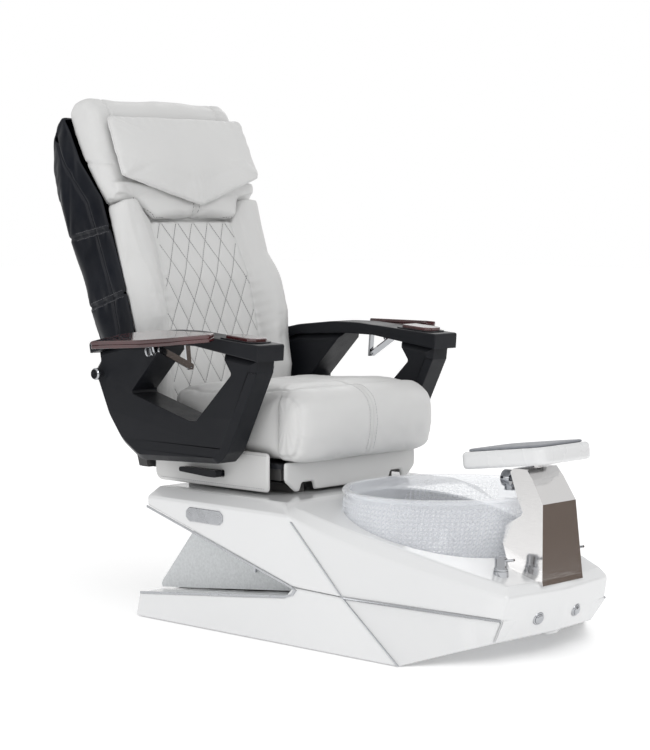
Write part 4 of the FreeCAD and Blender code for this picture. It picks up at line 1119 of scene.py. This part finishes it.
class SPA_OT_back(bpy.types.Operator):
    """Upholster the back: vinyl shell, quilted back cushion, head cushion and pillow"""
    bl_idname = "spa.back"
    bl_label = "Back upholstery"

    def execute(self, context):
        self.shell()
        self.cushion()
        self.head()
        self.pillow()
        eased_node(1.0, "back_frame")
        return {"FINISHED"}

    def shell(self):
        """Black shell of three sewn panels, hollow for the massage gear."""
        outline = [(-22, 20, 6), (70, 20, 22), (101, 326, 300), (104, 440, 200), (127, 589, 120), (147, 710, 120),
                   (140, 800, 90), (117, 873, 60), (84, 912, 16), (48, 920, 6), (30, 870), (14, 780),
                   (-40, 660, 50), (-60, 450, 200), (-60, 300, 200), (-40, 130, 60)]
        shell = plate("back_cover", [outline], 554, (0, 0, -277), BACK @ SIDE_ON, edge=11, steps=5)
        remesh(shell, 0.0065, 2)
        front_edge = ([0, 130, 300, 450, 660, 780, 920], [-22, -40, -60, -60, -40, 14, 48])
        seam_lines = ((576, 0.10), (388, -0.02))
        local = coordinates(shell, BACK)
        held = np.zeros(len(local))
        for base, slope in seam_lines:
            held = np.maximum(held, np.exp(-((local[:, 2] - base - slope * local[:, 1]) / 6) ** 2))
        held = np.maximum(held, (local[:, 1] < np.interp(local[:, 2], *front_edge) + 5) * 1.0)
        stuffed(shell, held, 0.008, 3.5)
        finer(shell)
        local = coordinates(shell, BACK)
        seams = [np.abs(local[:, 2] - base - slope * local[:, 1]) for base, slope in seam_lines]
        piping = np.abs(local[:, 1] - np.interp(local[:, 2], *front_edge) - 58)
        side = np.abs(local[:, 0]) > 268
        sewn(shell, seams + [np.where(side, piping, 99)], 1.1, 0.9)
        local = coordinates(shell, BACK)
        folds = gathers(local[:, 1], seams[0], 33, 16, 1.1, 1) + gathers(local[:, 1], seams[1], 41, 24, 1.7, 4)
        folds += gathers(local[:, 0], seams[0], 44, 20, 1.0, 2) * (np.abs(local[:, 0]) < 240)
        shift_points(shell, folds + soft_noise(local, 170, 1) * 1.6 * MM)
        inner = [(-90, 12), (60, 14), (92, 326), (95, 440), (118, 590), (137, 710), (130, 798), (107, 866),
                 (78, 903), (66, 908), (6, 908), (-20, 780), (-90, 600)]
        core = plate("Core", [inner], 544, (0, 0, -272), BACK @ SIDE_ON, edge=4, steps=1)
        carved(shell, core)
        built(shell, "back", "black_vinyl", FINISH["black_vinyl"], "back_shell")
        rows = []
        for sign in (-1, 1):
            for base, slope in seam_lines:
                for lift in (-7, 7):
                    rows.append([(sign * 290, d, base + slope * d + lift) for d in range(-48, 100, 14)])
        sewing = stitches("cover_stitches", shell, rows, BACK, None, 0.0008)
        built(sewing, "back", "black_vinyl", FINISH["dark_thread"])

    def cushion(self):
        """Quilted centre panel between two side bolsters."""
        front = [(-26, 14), (-52, 14, 14), (-66, 150, 300), (-72, 226, 300), (-98, 420, 200), (-84, 560, 80),
                 (-80, 640), (-26, 640)]
        piece = plate("back_pad", [front], 528, (0, 0, -264), BACK @ SIDE_ON, edge=24, steps=6)
        remesh(piece, 0.006)
        local = coordinates(piece, BACK)
        seam_at = panel_half_width(local[:, 2])
        swell = np.clip((np.abs(local[:, 0]) - seam_at) / (234 - seam_at), 0, 1)
        swell = swell * swell * (3 - 2 * swell)
        rise = np.interp(local[:, 2], [40, 150, 300, 420, 480, 640], [6, 60, 58, 30, 21, 28])
        local[:, 1] = -26 + (local[:, 1] + 26) * (1 + swell * rise / 55)
        above = local[:, 2] - yoke_height(local[:, 0])
        sunk = np.maximum(local[:, 1], -62)
        local[:, 1] += (sunk - local[:, 1]) * np.clip((above + 2) / 8, 0, 1)
        place_points(piece, local, BACK)
        local = coordinates(piece, BACK)
        seam = line_distance(np.abs(local[:, (0, 2)]), PANEL_SEAM)[0]
        facing = local[:, 1] < PAD_FACE
        inside = np.abs(local[:, 0]) < panel_half_width(local[:, 2])
        held = np.exp(-(seam / 6) ** 2) * facing
        held = np.maximum(held, np.exp(-(quilt_distance(local[:, (0, 2)]) / 5) ** 2) * 0.9 * (facing & inside))
        under = local[:, 2] > yoke_height(local[:, 0]) - 2
        held = np.maximum(held, (local[:, 1] > -32) | under)
        stuffed(piece, held, 0.022, 4.5)
        finer(piece)
        local = coordinates(piece, BACK)
        facing = local[:, 1] < PAD_FACE
        seam, along = line_distance(np.abs(local[:, (0, 2)]), PANEL_SEAM)
        inside = np.abs(local[:, 0]) < panel_half_width(local[:, 2])
        quilt = np.where(inside & facing & (local[:, 2] < 582), quilt_distance(local[:, (0, 2)]), 99)
        amount = np.minimum(hollow(np.where(facing, seam, 99), 5.5, 0.0055), hollow(quilt, 3.4, 0.0026))
        shift_points(piece, amount)
        local = coordinates(piece, BACK)
        puckers = gathers(along, seam, 29, 17, 1.3, 2) * facing
        ridge = np.abs(np.abs(local[:, 0]) - 226 - 0.03 * (local[:, 2] - 300))
        puckers += hollow(np.where(facing, ridge, 99), 8, 0.0014)
        shift_points(piece, puckers + soft_noise(local, 140, 5) * 1.3 * MM)
        built(piece, "back", "white_leather", FINISH["white_leather"], "back_cushion", fill=0.7)
        # Nearly continuous dark grey stitches paint the shade along the quilting lines as well as the thread.
        sewing = stitches("quilt_stitches", piece, quilt_lines(20, 578), BACK, INTO_BACK,
                          0.00085, 1.2)
        built(sewing, "back", "white_leather", FINISH["grey_thread"])

    def head(self):
        """Head cushion with its yoke below and its wings round the shell's top."""
        side = [(-24, 636), (-84, 636, 8), (-80, 700, 200), (-71, 820, 200), (-66, 905, 38), (-40, 944, 26),
                (14, 948, 26), (46, 926, 10), (42, 870), (26, 778)]
        piece = plate("head_pad", [side], 530, (0, 0, -265), BACK @ SIDE_ON, edge=30, steps=7)
        yoke = plate("Yoke", [[(-262, 655, 10), (-204, 641, 30), (-153, 579, 16), (153, 579, 16), (204, 641, 30),
                               (262, 655, 10), (262, 690), (-262, 690)]], 29, (0, 0, 68), BACK @ FACE_ON,
                     edge=9, steps=4)
        piece = joined("head_pad", [piece, yoke])
        remesh(piece, 0.0065)
        local = coordinates(piece, BACK)
        glued_behind = np.interp(local[:, 2], [600, 640, 780, 920], [-60, -30, 20, 40])
        held = (local[:, 1] > glued_behind) & (local[:, 2] < 925)
        top_seam = np.abs(np.abs(local[:, 0]) - 205)
        held = np.maximum(held * 1.0, np.exp(-(top_seam / 6) ** 2) * (local[:, 2] > 700) * 0.8)
        stuffed(piece, held, 0.018, 4.0)
        finer(piece)
        local = coordinates(piece, BACK)
        middle = np.minimum(np.abs(local[:, 0] - 5), np.abs(local[:, 0] + 5))
        middle = np.where(local[:, 2] < 690, middle, 99)
        on_wing = (np.abs(local[:, 0]) > 240) & (local[:, 2] > 700)
        wing = np.where(on_wing, np.abs(local[:, 2] - 768 - 0.3 * local[:, 1]), 99)
        top_seam = np.where(local[:, 2] > 700, np.abs(np.abs(local[:, 0]) - 205), 99)
        sewn(piece, [middle, wing, top_seam], 1.1, 0.9)
        local = coordinates(piece, BACK)
        folds = gathers(local[:, 2] + local[:, 1], top_seam, 34, 26, 2.0, 1)
        folds += gathers(local[:, 1], wing, 22, 18, 1.3, 3)
        crest = np.clip((local[:, 2] - 880) / 60, 0, 1)
        folds += crest * np.sin(local[:, 0] / 52 + 0.8) * 2.6 * MM
        shift_points(piece, folds + soft_noise(local, 120, 7) * 1.7 * MM)
        built(piece, "back", "white_leather", FINISH["white_leather"], "head_cushion", fill=0.7)
        edge = [(x, -100, s + 7) for x, s in YOKE_SEAM[1:-1]]
        sewing = stitches("yoke_stitches", piece, [edge, [(11, -100, 590), (11, -100, 660)],
                                                   [(-11, -100, 590), (-11, -100, 660)]], BACK, INTO_BACK)
        built(sewing, "back", "white_leather", FINISH["dark_thread"])

    def pillow(self):
        """Shield-shaped pillow that hangs in front of the head cushion."""
        shield = [(-250, -4, 18), (-258, -180, 14), (0, -267, 22), (258, -180, 14), (250, -4, 18)]
        piece = plate("neck_pillow", [shield], 28, (0, 0, 5), HANG @ FACE_ON, edge=13, steps=5)
        remesh(piece, 0.0055)
        local = coordinates(piece, HANG)
        rim = np.exp(-((local[:, 1] + 19) / 5) ** 2)
        outline = [(-258, -2), (-266, -182), (0, -272), (266, -182), (258, -2), (-258, -2)]
        rim *= line_distance(local[:, (0, 2)], outline)[0] < 14
        stuffed(piece, rim, 0.019, 3.5)
        finer(piece)
        local = coordinates(piece, HANG)
        gap, along = line_distance(local[:, (0, 2)], outline)
        folds = gathers(along, gap, 33, 22, 1.3, 1)
        drape = np.exp(-((local[:, 2] + 212 - 0.34 * np.abs(local[:, 0])) / 14) ** 2) * 1.4 * MM
        shift_points(piece, folds - drape + soft_noise(local, 160, 9) * 1.5 * MM)
        built(piece, "pillow", "white_leather", FINISH["white_leather"], "head_pillow", fill=0.65)
        local = coordinates(piece, HANG)
        rim_line = []
        shape = rounded([(-258, 2, 24), (-266, -183, 18), (0, -272, 26), (266, -183, 18), (258, 2, 24)], 6)
        tree = BVHTree.FromObject(piece, bpy.context.evaluated_depsgraph_get())
        for a, b in zip(shape, shape[1:] + shape[:1]):
            for k in range(12):
                p = a.lerp(b, k / 12)
                rim_line.append(tree.find_nearest(HANG @ Vector((p[0], -19, p[1])) * MM)[0])
        piping = thread("pillow_piping", rim_line, 0.0022, 8, closed=True)
        built(piping, "pillow", "white_leather", FINISH["white_leather"])


# ------------------------------------------------------------------ arms and trays

BEAM_UNDER = [(722, 684), (600, 712), (430, 721), (320, 720), (218, 706), (96, 690)]


def on_both_sides(piece, body, slot, names, weld=False):
    """Finish a right-hand piece and its mirror image, each on its own side's body."""
    twin = mirror_of(piece, piece.name.replace("_right", "_left"))
    for one, side in ((piece, "right"), (twin, "left")):
        if weld:
            tidy_mesh(one)
        nodes = [names + "_" + side] if names else []
        built(one, body + "_" + side, slot, FINISH[slot], *nodes, rigid=True)


class SPA_OT_arms(bpy.types.Operator):
    """Mould the arms with their chamfers, beams, dishes and knobs"""
    bl_idname = "spa.arms"
    bl_label = "Arms"

    def execute(self, context):
        edge = [(116, 660, 6), (177, 537, 60), (218, 456, 30), (250, 426, 20), (540, 414, 60), (612, 458, 120),
                (662, 520, 120), (706, 612, 60), (725, 630, 8), (695, 667, 6)]
        seam = [(702, 688)] + BEAM_UNDER[1:-1] + [(112, 692)]
        panel = plate("arm_side_right", [edge + seam], 88, (0, 0, -380), SIDE_ON, edge=15, steps=0)
        window = [(566, 588, 8), (345, 530, 14), (318, 531, 10), (190, 655, 8), (222, 700, 8), (236, 735),
                  (420, 735)]
        hole = plate("Window", [window], 110, (0, 0, -391), SIDE_ON, edge=0.4, steps=0)
        bore = revolved("Bore", [(0.01, 0), (9.06, 0), (9.06, 46), (0.01, 46)],
                        Matrix.Translation((-336, 679, 632)) @ Matrix.Rotation(math.pi / 2, 4, "Y"), 32)
        carved(panel, hole, bore)
        eased(panel, 1.2, 2, 25)
        beam_top = [(93, 731, 6), (381, 753, 500), (470, 753, 300), (600, 740, 300), (728, 714, 12)]
        beam = plate("arm_rest_right", [BEAM_UNDER + beam_top], 94, (0, 0, -383), SIDE_ON, edge=3.5, steps=4)
        rim = [(-46, -30, 8), (40, -33, 10), (52, -18, 6), (52, 18, 6), (40, 33, 10), (-46, 30, 8)]
        slope = math.atan2(22, 288)
        lie = Matrix.Translation((-336, 182, 731 + 89 * 22 / 288)) @ Matrix.Rotation(slope, 4, "X")
        lie = lie @ Matrix.Rotation(-math.pi / 2, 4, "Z")
        collar = plate("arm_trim_right", [[(-60, -37, 10), (50, -39, 14), (62, -22, 8), (62, 22, 8), (50, 39, 14),
                                           (-60, 37, 10)]], 3.0, (0, 0, 0), lie, edge=1.2)
        dish = plate("arm_dish_cover_right", [rim], 11.5, (0, 0, 0), lie, edge=3.6, steps=4)
        for piece, slot, names in ((panel, "black_plastic", "arm_panel"), (beam, "black_plastic", "arm_beam"),
                                   (collar, "black_plastic", None), (dish, "burgundy_gloss", "arm_dish")):
            on_both_sides(piece, "arm", slot, names)
        eased_node(0.7, "arm_knob_right", "arm_knob_left", "tray_bracket_right", "tray_bracket_left",
                   "tray_brace_right", "tray_brace_left")
        return {"FINISHED"}


COIL_STEPS, COIL_TURNS = 28, 1.9


class SPA_OT_trays(bpy.types.Operator):
    """Lacquered folding trays with a lip, hinge leaf and spring clips"""
    bl_idname = "spa.trays"
    bl_label = "Service trays"

    def execute(self, context):
        hinge = Matrix.Translation((-388, 0, 738)) @ Matrix.Rotation(math.radians(-6.28), 4, "Y")
        leaf = [(-12, 427, 4), (-49, 456, 30), (-104, 477, 60), (-176, 467, 60), (-222, 459, 6), (-209, 440, 20),
                (-165, 334, 60), (-117, 278, 60), (-43, 212, 12), (-14, 225, 8)]
        low = plate("Low", [leaf], 9.2, (0, 0, 3), hinge, edge=2.6, steps=3)
        high = plate("High", [leaf], 10.6, (0, 0, 11.8), hinge, edge=3.2, steps=4)
        barrel = revolved("Barrel", [(0.01, 0), (4, 0), (4, 46), (0.01, 46)],
                          hinge @ Matrix.Translation((0, 250, -0.5)) @ Matrix.Rotation(-math.pi / 2, 4, "X"), 24)
        strap = plate("Strap", [[(-24, 252, 2), (-4, 252), (-4, 294), (-24, 294, 2)]], 2.4, (0, 0, 0.8), hinge,
                      edge=0.6)
        ear = plate("Ear", [[(-78, -26, 6), (-62, -26, 6), (-56, 4), (-84, 4)]], 6, (0, 0, -386), hinge @ FACE_ON,
                    edge=0.8)
        screws = [revolved("Screw", [(0.01, -1.6), (3.6, -1.2), (4.2, 0.2), (0.01, 0.2)],
                           hinge @ Matrix.Translation((-14, y, 0.8)), 20) for y in (261, 285)]
        loops = []
        for start in (0, 16):
            spots = []
            for k in range(COIL_STEPS + 1):
                a = 2 * math.pi * k / COIL_STEPS * COIL_TURNS
                coil = Vector((-60 - start + 7 * math.cos(a), 404 + 6 * k / COIL_STEPS, -22 - 13 * math.sin(a)))
                spots.append(hinge @ coil * MM)
            loops.append(thread("Loop", spots, 0.0016, 8))
        top = joined("tray_top_right", [low, high])
        fittings = joined("tray_fittings_right", [barrel, strap, ear] + screws + loops)
        for piece, slot, names in ((top, "burgundy_gloss", "service_tray"), (fittings, "chrome", None)):
            on_both_sides(piece, "tray", slot, names, weld=True)
        return {"FINISHED"}


# ------------------------------------------------------------------ studio

class SPA_OT_studio(bpy.types.Operator):
    """Camera, pale floor and soft light"""
    bl_idname = "spa.studio"
    bl_label = "Studio"

    def execute(self, context):
        studio = context.scene.chair_studio
        scene = context.scene
        camera = bpy.data.objects.new("Camera", bpy.data.cameras.new("Camera"))
        camera.data.lens, camera.data.sensor_width = studio.lens, 36
        camera.data.clip_end = 100
        camera.location = studio.camera_at
        camera.rotation_euler = (math.pi / 2 - studio.camera_pitch, 0, studio.camera_turn)
        scene.collection.objects.link(camera)
        scene.camera = camera

        floor = mesh_object("Floor", [(-30, -30, 0), (30, -30, 0), (30, 30, 0), (-30, 30, 0)], [(0, 1, 2, 3)])
        pale = finish_of(FINISH["effects"], "Studio floor", tuple(studio.floor), 0.6, 0.7, 0.01, 2, 4, dust=0)
        pale.node_tree.nodes["Principled BSDF"].inputs["Emission Color"].default_value = (1, 1, 1, 1)
        pale.node_tree.nodes["Principled BSDF"].inputs["Emission Strength"].default_value = 0.24
        floor.data.materials.append(pale)

        sky = bpy.data.worlds.new("Studio")
        sky.use_nodes = True
        air = sky.node_tree
        glow = air.nodes["Background"]
        glow.inputs["Color"].default_value = (1, 1, 1, 1)
        seen = air.nodes.new("ShaderNodeLightPath").outputs["Is Camera Ray"]
        air.links.new(ranged(air, seen, 0, 1, 0.80, 1.0), glow.inputs["Strength"])
        scene.world = sky
        for name, spot, aim, wide, power in (
                ("Key", (-2.6, -3.6, 3.6), (0, 0, 0.6), 2.4, studio.key),
                ("Fill", (-4.2, 1.4, 2.2), (0, 0.2, 0.6), 2.2, studio.fill),
                ("Rim", (3.2, 2.4, 3.0), (0, 0.2, 0.8), 1.8, studio.fill)):
            lamp = bpy.data.objects.new(name, bpy.data.lights.new(name, "AREA"))
            lamp.data.shape, lamp.data.size, lamp.data.energy = "SQUARE", wide, power
            lamp.location = spot
            lamp.rotation_euler = (Vector(aim) - Vector(spot)).to_track_quat("-Z", "Y").to_euler()
            scene.collection.objects.link(lamp)
        # Cards seen only in glossy reflections, not by the camera, in diffuse light or in shadow: painted
        # reflections, warm on the tower's front facets and dark on the arms, the back's shell and the bowl.
        for name, left, right, low, high, colour in (
                ("Warm painted reflection card", (0.45, -1.80), (1.65, -1.25), 0.0, 0.62, (0.16, 0.125, 0.105)),
                ("Dark painted reflection card", (-2.6, 2.1), (-2.6, 5.5), 0.0, 2.1, (0.02, 0.02, 0.024)),
                ("Front painted reflection card", (0.5, -4.2), (1.6, -3.6), 0.5, 2.0, (0.05, 0.05, 0.055))):
            card = mesh_object(name, [(*left, low), (*right, low), (*right, high), (*left, high)], [(0, 1, 2, 3)])
            card.data.materials.append(finish_of(FINISH["effects"], name, colour, 0.8, 0.9, dust=0))
            card.visible_camera = card.visible_diffuse = card.visible_shadow = card.visible_transmission = False
        scene.view_settings.view_transform = "Standard"
        return {"FINISHED"}


class SPA_PT_chair(bpy.types.Panel):
    """The chair's makers and settings"""
    bl_idname = "SPA_PT_chair"
    bl_label = "Spa chair"
    bl_space_type = "VIEW_3D"
    bl_region_type = "UI"
    bl_category = "Spa chair"

    def draw(self, context):
        column = self.layout.column(align=True)
        for operator in OPERATORS:
            column.operator(operator.bl_idname)
        for settings in (context.scene.chair_finish, context.scene.chair_padding, context.scene.chair_studio):
            box = self.layout.box()
            for name in settings.bl_rna.properties.keys():
                if name not in ("rna_type", "name"):
                    box.prop(settings, name)


SETTINGS = (("chair_finish", ChairFinish), ("chair_padding", ChairPadding), ("chair_studio", ChairStudio))
OPERATORS = (SPA_OT_finishes, SPA_OT_studio, SPA_OT_base, SPA_OT_bowl, SPA_OT_tower, SPA_OT_seat, SPA_OT_back,
             SPA_OT_arms, SPA_OT_trays)


def register():
    for name, kind in SETTINGS:
        bpy.utils.register_class(kind)
        setattr(bpy.types.Scene, name, PointerProperty(type=kind))
    for kind in OPERATORS + (SPA_PT_chair,):
        bpy.utils.register_class(kind)


def unregister():
    for kind in (SPA_PT_chair,) + OPERATORS[::-1]:
        bpy.utils.unregister_class(kind)
    for name, kind in SETTINGS[::-1]:
        delattr(bpy.types.Scene, name)
        bpy.utils.unregister_class(kind)


def main():
    register()
    bpy.ops.spa.finishes()
    bpy.ops.spa.studio()
    bpy.ops.spa.base()
    bpy.ops.spa.bowl()
    bpy.ops.spa.tower()
    bpy.ops.spa.seat()
    bpy.ops.spa.back()
    bpy.ops.spa.arms()
    bpy.ops.spa.trays()


if __name__ == "__main__":
    main()
